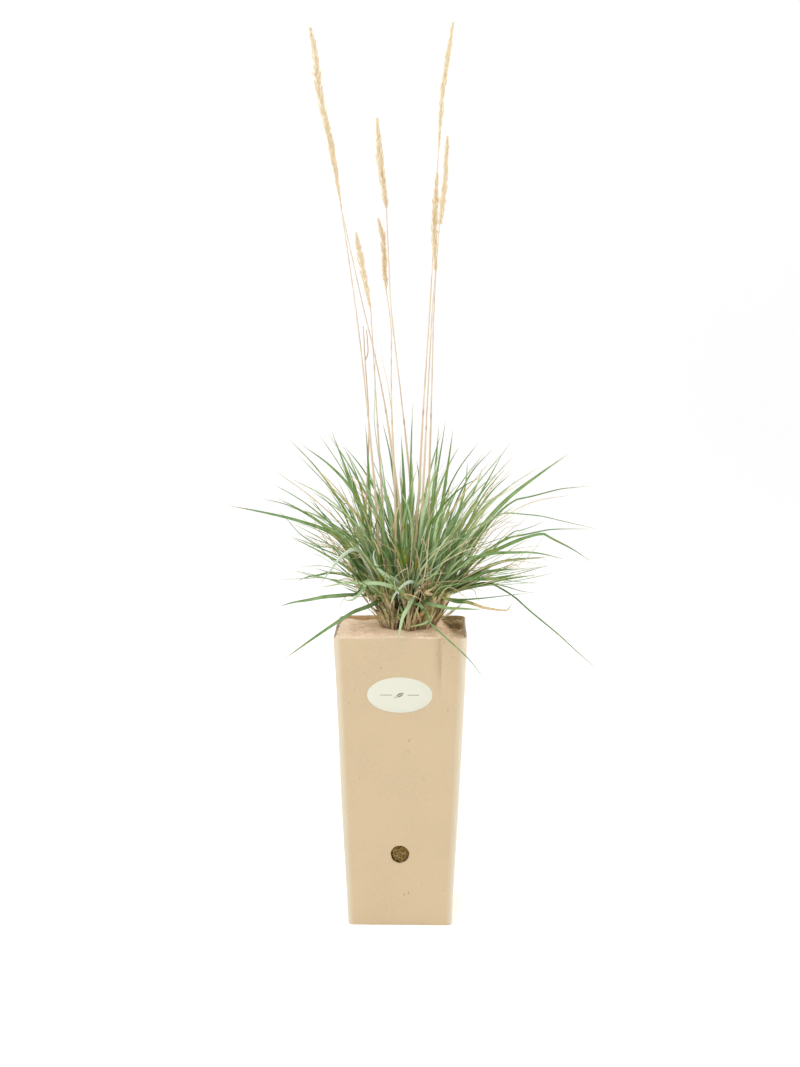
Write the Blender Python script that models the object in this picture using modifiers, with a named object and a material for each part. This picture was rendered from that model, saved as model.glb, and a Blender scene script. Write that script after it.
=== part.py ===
"""A potted clump of blue hair grass in a tall, tapered kraft-board pot.

Metres, +Z up. The origin is the middle of the pot's underside; -Y is the side with the label.
The pot holds a coir root ball. Nine bundles of old leaf sheaths stand on it, the green shoots
stand on the bundles, and each shoot is one solid: a sheath with the blades that grew from it.
"""

import math

import bmesh
import bpy
import numpy as np

GAP = 0.0003

# Pot
POT_HEIGHT = 0.235
POT_TOP = 0.105
POT_BOTTOM = 0.083
RIM_CORNER = 0.0085
FOOT_CORNER = 0.0040
CORNER_STEPS = 5
WALL = 0.0016
SEAM_WIDTH = 0.014
SEAM_STEP = 0.0008
DRAIN_RADIUS = 0.007
DRAIN_HEIGHT = 0.058
DRAIN_DIMPLE = 0.003

# Label
LABEL_WIDTH = 0.051
LABEL_HEIGHT = 0.0285
LABEL_THICK = 0.0003
LABEL_CENTRE_Z = 0.1898
LABEL_STEPS = 32

# Root ball
GROUND = 0.2340
GRID_STEPS = 12

# Sheath bundles: foot (x, y), radius at the foot, lean (run in x and y for each metre of rise)
BUNDLE_HEIGHT = 0.021
BUNDLE_FLARE = 1.10
BUNDLE_LEVELS = 3
FLUTES = 5
BUNDLES = {
    "left": ((-0.0150, -0.008), 0.0060, (-0.32, -0.05)),
    "front_left": ((-0.008, -0.019), 0.0050, (-0.10, -0.12)),
    "front": ((0.0065, -0.022), 0.0065, (0.02, -0.16)),
    "front_right": ((0.0195, -0.017), 0.0055, (0.16, -0.12)),
    "right": ((0.0260, -0.006), 0.0056, (0.32, 0.00)),
    "back_right": ((0.020, 0.009), 0.0065, (0.24, 0.24)),
    "back": ((0.006, 0.014), 0.0065, (0.00, 0.30)),
    "back_left": ((-0.009, 0.008), 0.0065, (-0.26, 0.22)),
    "heart": ((0.005, -0.004), 0.0070, (0.00, 0.02)),
}
SHOOTS_ON = {
    "left": 3, "front_left": 3, "front": 3, "front_right": 3, "right": 4,
    "back_right": 4, "back": 3, "back_left": 3, "heart": 3,
}
CLUMP_CENTRE = (0.005, -0.004)

# Shoots
SHOOT_RING = 0.62
SHEATH_HEIGHT = 0.011
SHEATH_RADIUS = 0.0020
SHEATH_SIDES = 5
SHOOT_SPREAD = 0.22
BLADES_PER_SHOOT = 4
LEAF_RINGS = 6
FILL_RINGS = 5
BLADE_KEEL = 0.26
BLADE_STOCK = 0.00022
BLADE_ROOT = (0.0040, 0.0011)
BLADE_OFFSET = 0.0009
CLEAR_NEAR = 0.0029
CLEAR_FAR = 0.0042
NEAR_LENGTH = 0.020
SHARED_LENGTH = 0.035
PATH_SAMPLES = 48

# Blades seen singly in the photograph: bundle, width, then points from the first bend to the tip
LEAVES = [
    ("left", 0.0042, [(-0.044, -0.013, 0.303), (-0.077, -0.017, 0.321), (-0.134, -0.022, 0.334)]),
    ("left", 0.0034, [(-0.039, -0.002, 0.297), (-0.071, 0.002, 0.322), (-0.100, 0.008, 0.337)]),
    ("back_left", 0.0044, [(-0.029, 0.011, 0.320), (-0.049, 0.015, 0.355), (-0.081, 0.018, 0.381)]),
    ("back_left", 0.0044, [(-0.029, 0.019, 0.311), (-0.045, 0.031, 0.355), (-0.060, 0.042, 0.391)]),
    ("left", 0.0040, [(-0.025, -0.007, 0.314), (-0.027, -0.004, 0.358), (-0.030, -0.002, 0.397)]),
    ("left", 0.0036, [(-0.027, -0.014, 0.315), (-0.034, -0.018, 0.353), (-0.044, -0.022, 0.377)]),
    ("left", 0.0026, [(-0.035, 0.004, 0.288), (-0.056, 0.015, 0.311), (-0.077, 0.026, 0.337)]),
    ("left", 0.0028, [(-0.039, -0.022, 0.283), (-0.063, -0.033, 0.299), (-0.085, -0.042, 0.311)]),
    ("front_left", 0.0042, [(-0.026, -0.031, 0.293), (-0.037, -0.038, 0.302), (-0.062, -0.046, 0.276)]),
    ("left", 0.0034, [(-0.036, 0.000, 0.273), (-0.059, 0.007, 0.277), (-0.086, 0.014, 0.270)]),
    ("front_left", 0.0044, [(-0.016, -0.031, 0.274), (-0.043, -0.038, 0.275), (-0.062, -0.042, 0.272)]),
    ("left", 0.0048, [(-0.038, -0.018, 0.267), (-0.064, -0.022, 0.264), (-0.095, -0.026, 0.257)]),
    ("left", 0.0044, [(-0.034, -0.024, 0.261), (-0.053, -0.036, 0.243), (-0.089, -0.050, 0.216)]),
    ("heart", 0.0038, [(-0.003, 0.001, 0.321), (-0.008, 0.005, 0.369), (-0.014, 0.010, 0.400)]),
    ("heart", 0.0032, [(0.007, 0.001, 0.305), (0.007, 0.001, 0.370), (0.008, 0.000, 0.415)]),
    ("heart", 0.0050, [(0.003, -0.013, 0.307), (0.003, -0.021, 0.355), (0.001, -0.030, 0.391)]),
    ("front_right", 0.0040, [(0.024, -0.024, 0.315), (0.028, -0.026, 0.367), (0.030, -0.028, 0.399)]),
    ("back_right", 0.0030, [(0.024, 0.015, 0.311), (0.029, 0.023, 0.368), (0.033, 0.030, 0.399)]),
    ("front_right", 0.0046, [(0.030, -0.015, 0.315), (0.036, -0.013, 0.355), (0.041, -0.012, 0.396)]),
    ("back_right", 0.0026, [(0.034, 0.023, 0.302), (0.053, 0.035, 0.350), (0.075, 0.048, 0.375)]),
    ("right", 0.0034, [(0.042, -0.001, 0.301), (0.061, 0.005, 0.337), (0.081, 0.010, 0.374)]),
    ("right", 0.0030, [(0.045, 0.007, 0.300), (0.068, 0.019, 0.337), (0.090, 0.030, 0.357)]),
    ("back_right", 0.0036, [(0.035, 0.028, 0.308), (0.056, 0.044, 0.334), (0.067, 0.060, 0.359)]),
    ("front_right", 0.0036, [(0.036, -0.028, 0.306), (0.048, -0.036, 0.341), (0.052, -0.044, 0.373)]),
    ("right", 0.0054, [(0.048, -0.009, 0.292), (0.082, -0.011, 0.337), (0.132, -0.014, 0.376)]),
    ("right", 0.0034, [(0.060, 0.000, 0.302), (0.103, 0.003, 0.337), (0.153, 0.008, 0.347)]),
    ("back_right", 0.0026, [(0.051, 0.019, 0.299), (0.096, 0.027, 0.324), (0.160, 0.034, 0.311)]),
    ("right", 0.0032, [(0.058, -0.013, 0.290), (0.098, -0.019, 0.312), (0.149, -0.024, 0.319)]),
    ("right", 0.0044, [(0.057, -0.022, 0.291), (0.101, -0.032, 0.310), (0.147, -0.042, 0.293)]),
    ("front_right", 0.0054, [(0.043, -0.030, 0.283), (0.080, -0.042, 0.301), (0.127, -0.056, 0.297)]),
    ("right", 0.0040, [(0.056, -0.004, 0.277), (0.083, -0.003, 0.288), (0.117, -0.002, 0.292)]),
    ("right", 0.0028, [(0.055, 0.006, 0.266), (0.084, 0.015, 0.271), (0.110, 0.024, 0.274)]),
    ("right", 0.0026, [(0.063, -0.015, 0.276), (0.106, -0.023, 0.251), (0.159, -0.032, 0.205)]),
    ("front_right", 0.0046, [(0.034, -0.033, 0.258), (0.058, -0.045, 0.257), (0.085, -0.056, 0.261)]),
    ("front_right", 0.0036, [(0.030, -0.037, 0.260), (0.044, -0.058, 0.239), (0.062, -0.074, 0.211)]),
    ("front", 0.0046, [(0.010, -0.035, 0.276), (-0.002, -0.046, 0.268), (-0.010, -0.056, 0.254)]),
    ("front", 0.0048, [(0.007, -0.043, 0.262), (0.002, -0.056, 0.249), (0.001, -0.064, 0.231)]),
    ("front", 0.0036, [(0.016, -0.036, 0.259), (0.023, -0.044, 0.249), (0.012, -0.050, 0.242)]),
]

# Blades between those, placed by a formula: length, and tilt from upright at the foot and the tip
FILL_LENGTH = (0.085, 0.150)
FILL_WIDTH = (0.0028, 0.0042)
FILL_TILT_FOOT = (4.0, 26.0)
FILL_TILT_TIP = (22.0, 88.0)
FILL_FAN = 55.0
FILL_TRIES = 40

# Flower stems: bundle, how far aside of its middle, points up the stem, points up the seed head,
# and the head's radius
STEMS = [
    ("left", (0.0, 0.0),
     [(-0.018, -0.010, 0.306), (-0.027, -0.012, 0.417), (-0.036, -0.014, 0.495), (-0.0475, -0.016, 0.575)],
     [(-0.0635, -0.018, 0.652), (-0.0655, -0.019, 0.684), (-0.0690, -0.020, 0.700)], 0.0029),
    ("back_left", (0.0, 0.0),
     [(-0.014, 0.008, 0.304), (-0.021, 0.016, 0.424), (-0.025, 0.022, 0.489)],
     [(-0.033, 0.026, 0.528), (-0.037, 0.028, 0.549)], 0.0024),
    ("heart", (-0.0010, 0.0024),
     [(0.002, -0.001, 0.305), (-0.014, 0.012, 0.416), (-0.032, 0.016, 0.496), (-0.048, 0.020, 0.567)],
     [(-0.055, 0.022, 0.614), (-0.063, 0.024, 0.649)], 0.0022),
    ("front_left", (0.0, 0.0),
     [(-0.004, -0.020, 0.307), (-0.007, -0.026, 0.418), (-0.007, -0.030, 0.472), (-0.011, -0.032, 0.504)],
     [(-0.013, -0.034, 0.529), (-0.017, -0.036, 0.555)], 0.0026),
    ("back", (0.0, 0.0),
     [(0.009, 0.018, 0.321), (-0.001, 0.016, 0.425), (-0.008, 0.015, 0.484), (-0.012, 0.014, 0.568)],
     [(-0.0170, 0.016, 0.604), (-0.0195, 0.018, 0.637)], 0.0026),
    ("heart", (0.0026, -0.0004),
     [(0.013, -0.007, 0.323), (0.018, -0.008, 0.417), (0.023, -0.006, 0.495), (0.029, -0.002, 0.610)],
     [(0.032, 0.002, 0.655), (0.040, 0.006, 0.708)], 0.0021),
    ("front", (0.0, 0.0),
     [(0.016, -0.025, 0.324), (0.021, -0.025, 0.418), (0.025, -0.026, 0.495), (0.027, -0.027, 0.517)],
     [(0.026, -0.029, 0.552), (0.028, -0.031, 0.590)], 0.0025),
    ("back_right", (0.0, 0.0),
     [(0.022, 0.008, 0.322), (0.024, 0.006, 0.417), (0.026, 0.008, 0.496), (0.030, 0.014, 0.555)],
     [(0.034, 0.017, 0.587), (0.036, 0.020, 0.623)], 0.0024),
]
STEM_FOOT_RADIUS = 0.0010
STEM_TOP_RADIUS = 0.0005
STEM_POINTS = 9
HEAD_SIDES = 6
HEAD_PROFILE = (0.25, 0.62, 0.84, 0.96, 1.0, 0.98, 0.82, 0.58, 0.12)
HEAD_LOBES = 4.5

# A broken dry stem beside the first flower stem, ending in two prongs
DRY_BUNDLE = "left"
DRY_ASIDE = (-0.0028, 0.0033)
DRY_STEM = [
    (-0.0300, -0.004, 0.272), (-0.0300, 0.000, 0.300), (-0.0275, 0.004, 0.350),
    (-0.0260, 0.004, 0.400), (-0.0288, 0.003, 0.449), (-0.0300, 0.002, 0.475),
]
DRY_PRONG = [(-0.0288, 0.003, 0.448), (-0.0264, 0.002, 0.455), (-0.0274, 0.001, 0.472)]
DRY_RADIUS = 0.0008

COLOURS = {
    "kraft_board": ((0.72, 0.55, 0.36), 0.85),
    "label_paper": ((0.88, 0.87, 0.76), 0.60),
    "coir": ((0.50, 0.36, 0.22), 0.95),
    "dry_sheath": ((0.58, 0.43, 0.22), 0.80),
    "leaf_green": ((0.16, 0.30, 0.13), 0.55),
    "straw_stem": ((0.70, 0.55, 0.35), 0.60),
    "seed_head": ((0.78, 0.60, 0.34), 0.80),
}


def clear_scene():
    for obj in list(bpy.data.objects):
        bpy.data.objects.remove(obj)


def collection(name):
    made = bpy.data.collections.new(name)
    bpy.context.scene.collection.children.link(made)
    return made


def material(name):
    """A Principled BSDF with the piece's colour and roughness."""
    made = bpy.data.materials.get(name)
    if made is None:
        colour, roughness = COLOURS[name]
        made = bpy.data.materials.new(name)
        made.use_nodes = True
        shader = made.node_tree.nodes["Principled BSDF"]
        shader.inputs["Base Color"].default_value = (*colour, 1.0)
        shader.inputs["Roughness"].default_value = roughness
        shader.inputs["Metallic"].default_value = 0.0
    return made


def add_object(name, mesh, group, material_name=None):
    obj = bpy.data.objects.new(name, mesh)
    group.objects.link(obj)
    if material_name:
        mesh.materials.append(material(material_name))
    return obj


def as_helper(obj):
    """A cutter or a shape that a union takes in: it isn't a piece of its own."""
    obj.hide_render = True
    obj.display_type = "WIRE"
    return obj


def boolean(obj, operation, other, solver="EXACT"):
    modifier = obj.modifiers.new(operation.lower(), "BOOLEAN")
    modifier.operation = operation
    modifier.object = other
    modifier.solver = solver


def mesh_from_bmesh(name, bm):
    bmesh.ops.recalc_face_normals(bm, faces=bm.faces)
    mesh = bpy.data.meshes.new(name)
    bm.to_mesh(mesh)
    bm.free()
    return mesh


def tapered_block(name, bottom, top, height, base_z):
    """A square block that widens upwards, its four upright edges rounded, less so towards the foot."""
    bm = bmesh.new()
    bmesh.ops.create_cube(bm, size=1.0)
    for vertex in bm.verts:
        width = top if vertex.co.z > 0 else bottom
        vertex.co.x *= width
        vertex.co.y *= width
        vertex.co.z = base_z + (height if vertex.co.z > 0 else 0.0)
    upright = [e for e in bm.edges if abs(e.verts[0].co.z - e.verts[1].co.z) > height / 2]
    bmesh.ops.bevel(
        bm, geom=upright, offset=RIM_CORNER, segments=CORNER_STEPS, profile=0.5, affect="EDGES"
    )
    for vertex in bm.verts:
        if vertex.co.z < base_z + height / 2:
            for axis in (0, 1):
                to_corner = bottom / 2 - abs(vertex.co[axis])
                squeezed = bottom / 2 - to_corner * FOOT_CORNER / RIM_CORNER
                vertex.co[axis] = math.copysign(squeezed, vertex.co[axis])
    return mesh_from_bmesh(name, bm)


def pot_width(z):
    """Outer width of the pot at height z, which goes on past the rim."""
    return POT_BOTTOM + (POT_TOP - POT_BOTTOM) * z / POT_HEIGHT


def wall_slope():
    """The walls' lean from upright, in radians."""
    return math.atan((POT_TOP - POT_BOTTOM) / 2 / POT_HEIGHT)


def face_place(obj, z, outwards, front=True):
    """Puts a flat piece made in XY on the front or back wall at height z, its +Z pointing outwards."""
    side = -1.0 if front else 1.0
    obj.location = (0.0, side * (pot_width(z) / 2 + outwards), z)
    turn = math.pi / 2 + wall_slope()
    obj.rotation_euler = (turn, 0.0, 0.0 if front else math.pi)


def make_pot(group, helpers):
    """Open tapered shell with a floor, a lap seam down the back and a drain hole in front."""
    mesh = tapered_block("pot", POT_BOTTOM, POT_TOP, POT_HEIGHT, 0.0)
    bm = bmesh.new()
    bm.from_mesh(mesh)
    lid = [f for f in bm.faces if f.normal.z > 0.9]
    bmesh.ops.delete(bm, geom=lid, context="FACES")
    bm.to_mesh(mesh)
    bm.free()
    pot = add_object("pot", mesh, group, "kraft_board")
    shell = pot.modifiers.new("wall", "SOLIDIFY")
    shell.thickness = WALL
    shell.offset = -1.0
    shell.use_even_offset = True

    # The flap's inner half lies inside the wall, so that the union has no coincident faces.
    flap_mesh = bpy.data.meshes.new("seam_flap")
    bm = bmesh.new()
    bmesh.ops.create_cube(bm, size=1.0)
    for vertex in bm.verts:
        vertex.co.x *= SEAM_WIDTH
        vertex.co.y *= POT_HEIGHT * 0.988
        vertex.co.z *= SEAM_STEP + WALL / 2
    bm.to_mesh(flap_mesh)
    bm.free()
    flap = as_helper(add_object("seam_flap", flap_mesh, helpers))
    face_place(flap, POT_HEIGHT / 2, (SEAM_STEP - WALL / 2) / 2, front=False)
    boolean(pot, "UNION", flap)

    drill = drain_cutter("drain_drill", DRAIN_RADIUS, 4 * WALL, helpers)
    boolean(pot, "DIFFERENCE", drill)
    return pot


def drain_cutter(name, radius, reach, helpers):
    """A cylinder square to the front wall at the drain hole, reaching that far each way."""
    bm = bmesh.new()
    bmesh.ops.create_cone(
        bm, cap_ends=True, segments=20, radius1=radius, radius2=radius, depth=2 * reach
    )
    cutter = as_helper(add_object(name, mesh_from_bmesh(name, bm), helpers))
    face_place(cutter, DRAIN_HEIGHT, 0.0)
    return cutter


def make_label(group):
    """An oval sticker, parallel to the front wall."""
    curve = bpy.data.curves.new("label", "CURVE")
    curve.dimensions = "2D"
    curve.fill_mode = "BOTH"
    curve.extrude = LABEL_THICK / 2
    spline = curve.splines.new("POLY")
    spline.points.add(LABEL_STEPS - 1)
    for i, point in enumerate(spline.points):
        angle = 2 * math.pi * i / LABEL_STEPS
        point.co = (LABEL_WIDTH / 2 * math.cos(angle), LABEL_HEIGHT / 2 * math.sin(angle), 0.0, 1.0)
    spline.use_cyclic_u = True
    label = bpy.data.objects.new("label", curve)
    curve.materials.append(material("label_paper"))
    group.objects.link(label)
    face_place(label, LABEL_CENTRE_Z, GAP + LABEL_THICK / 2)


def bump(x, y, centre, spread):
    """A smooth hill of height 1 at its centre, with a spread in x and in y."""
    away = ((x - centre[0]) / spread[0]) ** 2 + ((y - centre[1]) / spread[1]) ** 2
    return np.exp(-away / 2)


def ground(x, y):
    """Height of the coir: a low mound under the grass, a dip at the back left, a pit at the back right."""
    return (
        GROUND
        + 0.0030 * bump(x, y, (0.005, -0.006), (0.024, 0.022))
        - 0.0060 * bump(x, y, (-0.030, 0.040), (0.016, 0.009))
        - 0.0150 * bump(x, y, (0.0395, 0.029), (0.0065, 0.014))
        - 0.0025 * bump(x, y, (0.0475, -0.010), (0.007, 0.022))
        + 0.0020 * bump(x, y, (0.025, 0.028), (0.006, 0.010))
    )


def make_root_ball(group, helpers):
    """Fills the pot to the rim: a tapered block cut to the shape of the coir's top."""
    floor = WALL + GAP
    inset = 2 * (WALL + GAP) / math.cos(wall_slope())
    top_z = POT_HEIGHT + 0.010
    mesh = tapered_block(
        "coir_root_ball", pot_width(floor) - inset, pot_width(top_z) - inset, top_z - floor, floor
    )
    ball = add_object("coir_root_ball", mesh, group, "coir")

    bm = bmesh.new()
    bmesh.ops.create_grid(bm, x_segments=GRID_STEPS, y_segments=GRID_STEPS, size=POT_TOP * 0.55)
    for vertex in bm.verts:
        vertex.co.z = ground(vertex.co.x, vertex.co.y)
    lower = bmesh.ops.extrude_face_region(bm, geom=list(bm.faces))
    for item in lower["geom"]:
        if isinstance(item, bmesh.types.BMVert):
            item.co.z = -0.02
    terrain = as_helper(add_object("coir_surface", mesh_from_bmesh("coir_surface", bm), helpers))
    boolean(ball, "INTERSECT", terrain)
    drill = drain_cutter("drain_dimple", DRAIN_RADIUS, WALL + GAP + DRAIN_DIMPLE, helpers)
    boolean(ball, "DIFFERENCE", drill)


def loft(name, rings):
    """Joins rings of points, shape (rings, sides, 3), into one closed mesh. A ring of no size is a point."""
    rings = np.asarray(rings, float)
    count, sides = rings.shape[:2]
    faces = [
        (r * sides + s, r * sides + (s + 1) % sides, (r + 1) * sides + (s + 1) % sides, (r + 1) * sides + s)
        for r in range(count - 1)
        for s in range(sides)
    ]
    faces.append(tuple(reversed(range(sides))))
    faces.append(tuple(range((count - 1) * sides, count * sides)))
    mesh = bpy.data.meshes.new(name)
    mesh.from_pydata(rings.reshape(-1, 3).tolist(), [], faces)
    bm = bmesh.new()
    bm.from_mesh(mesh)
    bmesh.ops.remove_doubles(bm, verts=bm.verts, dist=0.000001)
    bmesh.ops.recalc_face_normals(bm, faces=bm.faces)
    bm.to_mesh(mesh)
    bm.free()
    return mesh


def circle(sides, phase=0.0):
    """Unit directions round a level ring, shape (sides, 2)."""
    angle = phase + 2 * np.pi * np.arange(sides) / sides
    return np.stack([np.cos(angle), np.sin(angle)], axis=1)


def bundle_top(name):
    """Middle of a bundle's level top."""
    (x, y), _, (lean_x, lean_y) = BUNDLES[name]
    z = ground(x, y) + GAP + BUNDLE_HEIGHT
    return np.array([x + lean_x * BUNDLE_HEIGHT, y + lean_y * BUNDLE_HEIGHT, z])


def make_bundle(name, group):
    """A fluted, leaning column of level rings, whose foot follows the coir."""
    (x, y), radius, (lean_x, lean_y) = BUNDLES[name]
    top_z = bundle_top(name)[2]
    sides = 3 * FLUTES
    flute = 1.0 + 0.10 * np.cos(FLUTES * 2 * np.pi * np.arange(sides) / sides)
    rings = []
    for share in np.linspace(0.0, 1.0, BUNDLE_LEVELS):
        size = radius * (1.0 + (BUNDLE_FLARE - 1.0) * share - 0.06 * math.sin(math.pi * share))
        flat = circle(sides, phase=0.4 * share) * (size * flute)[:, None]
        flat += (x + lean_x * BUNDLE_HEIGHT * share, y + lean_y * BUNDLE_HEIGHT * share)
        foot = ground(flat[:, 0], flat[:, 1]) + GAP + 0.0002
        height = foot + (top_z - foot) * share
        rings.append(np.column_stack([flat, height]))
    add_object(f"sheath_bundle_{name}", loft(name, rings), group, "dry_sheath")


def smooth_path(points, count):
    """Points spaced evenly along a smooth curve (Catmull-Rom) through the given ones."""
    points = np.asarray(points, float)
    padded = np.vstack([2 * points[0] - points[1], points, 2 * points[-1] - points[-2]])
    share = np.linspace(0.0, 1.0, 24, endpoint=False)[:, None]
    curve = []
    for a, b, c, d in zip(padded, padded[1:], padded[2:], padded[3:]):
        curve.append(
            0.5 * (2 * b + (c - a) * share + (2 * a - 5 * b + 4 * c - d) * share**2
                   + (3 * b - a - 3 * c + d) * share**3)
        )
    curve = np.vstack([*curve, points[-1:]])
    return spaced(curve, count)


def spaced(curve, count):
    """The same polyline with its points evenly spaced."""
    run = np.concatenate([[0.0], np.cumsum(np.linalg.norm(np.diff(curve, axis=0), axis=1))])
    at = np.linspace(0.0, run[-1], count)
    return np.column_stack([np.interp(at, run, curve[:, k]) for k in range(3)])


def shoots():
    """Foot and outward direction of each shoot, in a ring on its bundle's top."""
    made = []
    for name, count in SHOOTS_ON.items():
        top = bundle_top(name)
        out = top[:2] - CLUMP_CENTRE
        heading = math.atan2(out[1], out[0]) if name != "heart" else 0.9
        radius = BUNDLES[name][1] * SHOOT_RING
        for k in range(count):
            around = heading + 2 * math.pi * (k + (0.5 if count % 2 == 0 else 0.0)) / count
            offset = radius * np.array([math.cos(around), math.sin(around)])
            foot = np.array([top[0] + offset[0], top[1] + offset[1], top[2] + GAP])
            away = foot[:2] - CLUMP_CENTRE
            lean = np.array(BUNDLES[name][2]) + SHOOT_SPREAD * offset / radius
            azimuth = math.atan2(away[1], away[0])
            made.append({"bundle": name, "foot": foot, "lean": lean, "azimuth": azimuth})
    return made


def along_sheath(shoot, height):
    """The point that high up the middle of a shoot's sheath."""
    return shoot["foot"] + height * np.array([*shoot["lean"], 1.0])


def blade_root(shoot, azimuth, order):
    """Where a blade starts inside the sheath: on the side that it leaves by, each blade higher up."""
    aside = BLADE_OFFSET * np.array([math.cos(azimuth), math.sin(azimuth), 0.0])
    return along_sheath(shoot, BLADE_ROOT[0] + BLADE_ROOT[1] * order) + aside


def leaf_line(shoot, points, order):
    """From inside the sheath, out at its mouth, and on through the given points."""
    away = np.array(points[0][:2]) - shoot["foot"][:2]
    root = blade_root(shoot, math.atan2(away[1], away[0]), order)
    return smooth_path([root, *points], LEAF_RINGS)


def arching_line(shoot, order, length, azimuth, tilt_foot, tilt_tip):
    """A blade whose tilt from upright grows steadily from foot to tip, all at one azimuth."""
    tilt = np.radians(np.linspace(tilt_foot, tilt_tip, FILL_RINGS))
    tilt = (tilt[1:] + tilt[:-1]) / 2
    way = np.column_stack([np.sin(tilt) * math.cos(azimuth), np.sin(tilt) * math.sin(azimuth), np.cos(tilt)])
    start = blade_root(shoot, azimuth, order)
    return np.vstack([start, start + np.cumsum(way * length / (FILL_RINGS - 1), axis=0)])


def fill_blade(index, shoot, order):
    """Width and line of the blade of that number: its sizes step through their ranges by golden shares."""
    a, b, c, d = ((index * share) % 1.0 for share in (0.6180, 0.7549, 0.5698, 0.8192))

    def between(limits, share):
        return limits[0] + (limits[1] - limits[0]) * share

    outward = np.linalg.norm(shoot["foot"][:2] - CLUMP_CENTRE) / 0.034
    azimuth = shoot["azimuth"] + math.radians(FILL_FAN) * (2 * a - 1)
    tilt_foot = between(FILL_TILT_FOOT, min(1.0, 0.55 * b + 0.45 * outward))
    tilt_tip = between(FILL_TILT_TIP, min(1.0, 0.55 * c + 0.40 * outward))
    line = arching_line(shoot, order, between(FILL_LENGTH, d), azimuth, tilt_foot, tilt_tip)
    return between(FILL_WIDTH, b), line


def is_clear(line, owner, placed):
    """Whether a blade keeps clear of stems and other blades; those of one shoot may join low down."""
    path = spaced(line, PATH_SAMPLES)
    run = np.linspace(0.0, np.linalg.norm(np.diff(path, axis=0), axis=1).sum(), len(path))
    apart = np.where(run < NEAR_LENGTH, CLEAR_NEAR, CLEAR_FAR)
    apart_from_own = np.where(run < SHARED_LENGTH, 0.0, CLEAR_NEAR)
    for other, theirs in placed:
        distance = np.linalg.norm(path[:, None] - theirs[None], axis=2).min(axis=1)
        if (distance < (apart_from_own if other == owner else apart)).any():
            return False
    return True


def leaf_owner(all_shoots, bundle, points, blades, placed):
    """The bundle's nearest shoot from which the leaf is clear of the others, and the leaf's line."""
    own = [i for i, shoot in enumerate(all_shoots) if shoot["bundle"] == bundle]
    own.sort(key=lambda i: np.linalg.norm(all_shoots[i]["foot"][:2] - np.array(points[0][:2])))
    for owner in own:
        line = leaf_line(all_shoots[owner], points, len(blades[owner]))
        if is_clear(line, owner, placed):
            return owner, line
    return own[0], leaf_line(all_shoots[own[0]], points, len(blades[own[0]]))


def blade_rings(points, width):
    """Triangular sections along a blade: two edges above and a keel below, tapering to a point."""
    tangent = np.gradient(points, axis=0)
    tangent /= np.linalg.norm(tangent, axis=1)[:, None]
    chord = points[-1] - points[0]
    level = np.array([-chord[1], chord[0], 0.0])
    level /= np.linalg.norm(level)
    side = level - (tangent @ level)[:, None] * tangent
    side /= np.linalg.norm(side, axis=1)[:, None]
    up = np.cross(side, tangent)
    share = np.linspace(0.0, 1.0, len(points))
    wide = width * np.minimum(1.0, 0.40 + 2.4 * share) * (1.0 - share**2.4)
    deep = wide * BLADE_KEEL + np.where(share < 1.0, BLADE_STOCK, 0.0)
    left = points - side * (wide / 2)[:, None]
    right = points + side * (wide / 2)[:, None]
    keel = points + up * deep[:, None]
    return np.stack([left, right, keel], axis=1)


def make_shoots(all_shoots, blades, group, helpers):
    """Each shoot: a tapered sheath, united with its blades."""
    for number, shoot in enumerate(all_shoots, start=1):
        rings = []
        for share in (0.0, 1.0):
            centre = along_sheath(shoot, SHEATH_HEIGHT * share)
            flat = circle(SHEATH_SIDES, phase=0.3 * number) * SHEATH_RADIUS * (1.0 - 0.30 * share)
            rings.append(np.column_stack([flat + centre[:2], np.full(SHEATH_SIDES, centre[2])]))
        name = f"shoot_{number:02d}"
        shoot_object = add_object(name, loft(name, rings), group, "leaf_green")
        for k, (width, line) in enumerate(blades[number - 1], start=1):
            blade_name = f"{name}_blade_{k}"
            mesh = loft(blade_name, blade_rings(line, width))
            # The exact solver loses whole shoots where several blades cross near their roots.
            boolean(shoot_object, "UNION", as_helper(add_object(blade_name, mesh, helpers)), "MANIFOLD")


def stem_path(bundle, aside, points, count):
    """A stem's middle line, from just above its bundle's top."""
    foot = bundle_top(bundle) + (*aside, GAP)
    return smooth_path([foot, *points], count)


def add_tube(name, path, radii, group, material_name):
    """A round tube: a poly curve with a bevel and filled caps."""
    curve = bpy.data.curves.new(name, "CURVE")
    curve.dimensions = "3D"
    curve.bevel_depth = 1.0
    curve.bevel_resolution = 1
    curve.use_fill_caps = True
    spline = curve.splines.new("POLY")
    spline.points.add(len(path) - 1)
    for point, place, radius in zip(spline.points, path, radii):
        point.co = (*place, 1.0)
        point.radius = radius
    obj = bpy.data.objects.new(name, curve)
    group.objects.link(obj)
    curve.materials.append(material(material_name))
    return obj


def tube_as_mesh(obj, group):
    """The tube's evaluated mesh as an object of its own, its caps welded on."""
    graph = bpy.context.evaluated_depsgraph_get()
    mesh = bpy.data.meshes.new_from_object(obj.evaluated_get(graph))
    bm = bmesh.new()
    bm.from_mesh(mesh)
    bmesh.ops.remove_doubles(bm, verts=bm.verts, dist=0.00001)
    bm.to_mesh(mesh)
    bm.free()
    name, place = obj.name, obj.matrix_world.copy()
    bpy.data.objects.remove(obj)
    made = bpy.data.objects.new(name, mesh)
    made.matrix_world = place
    group.objects.link(made)
    return made


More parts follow.
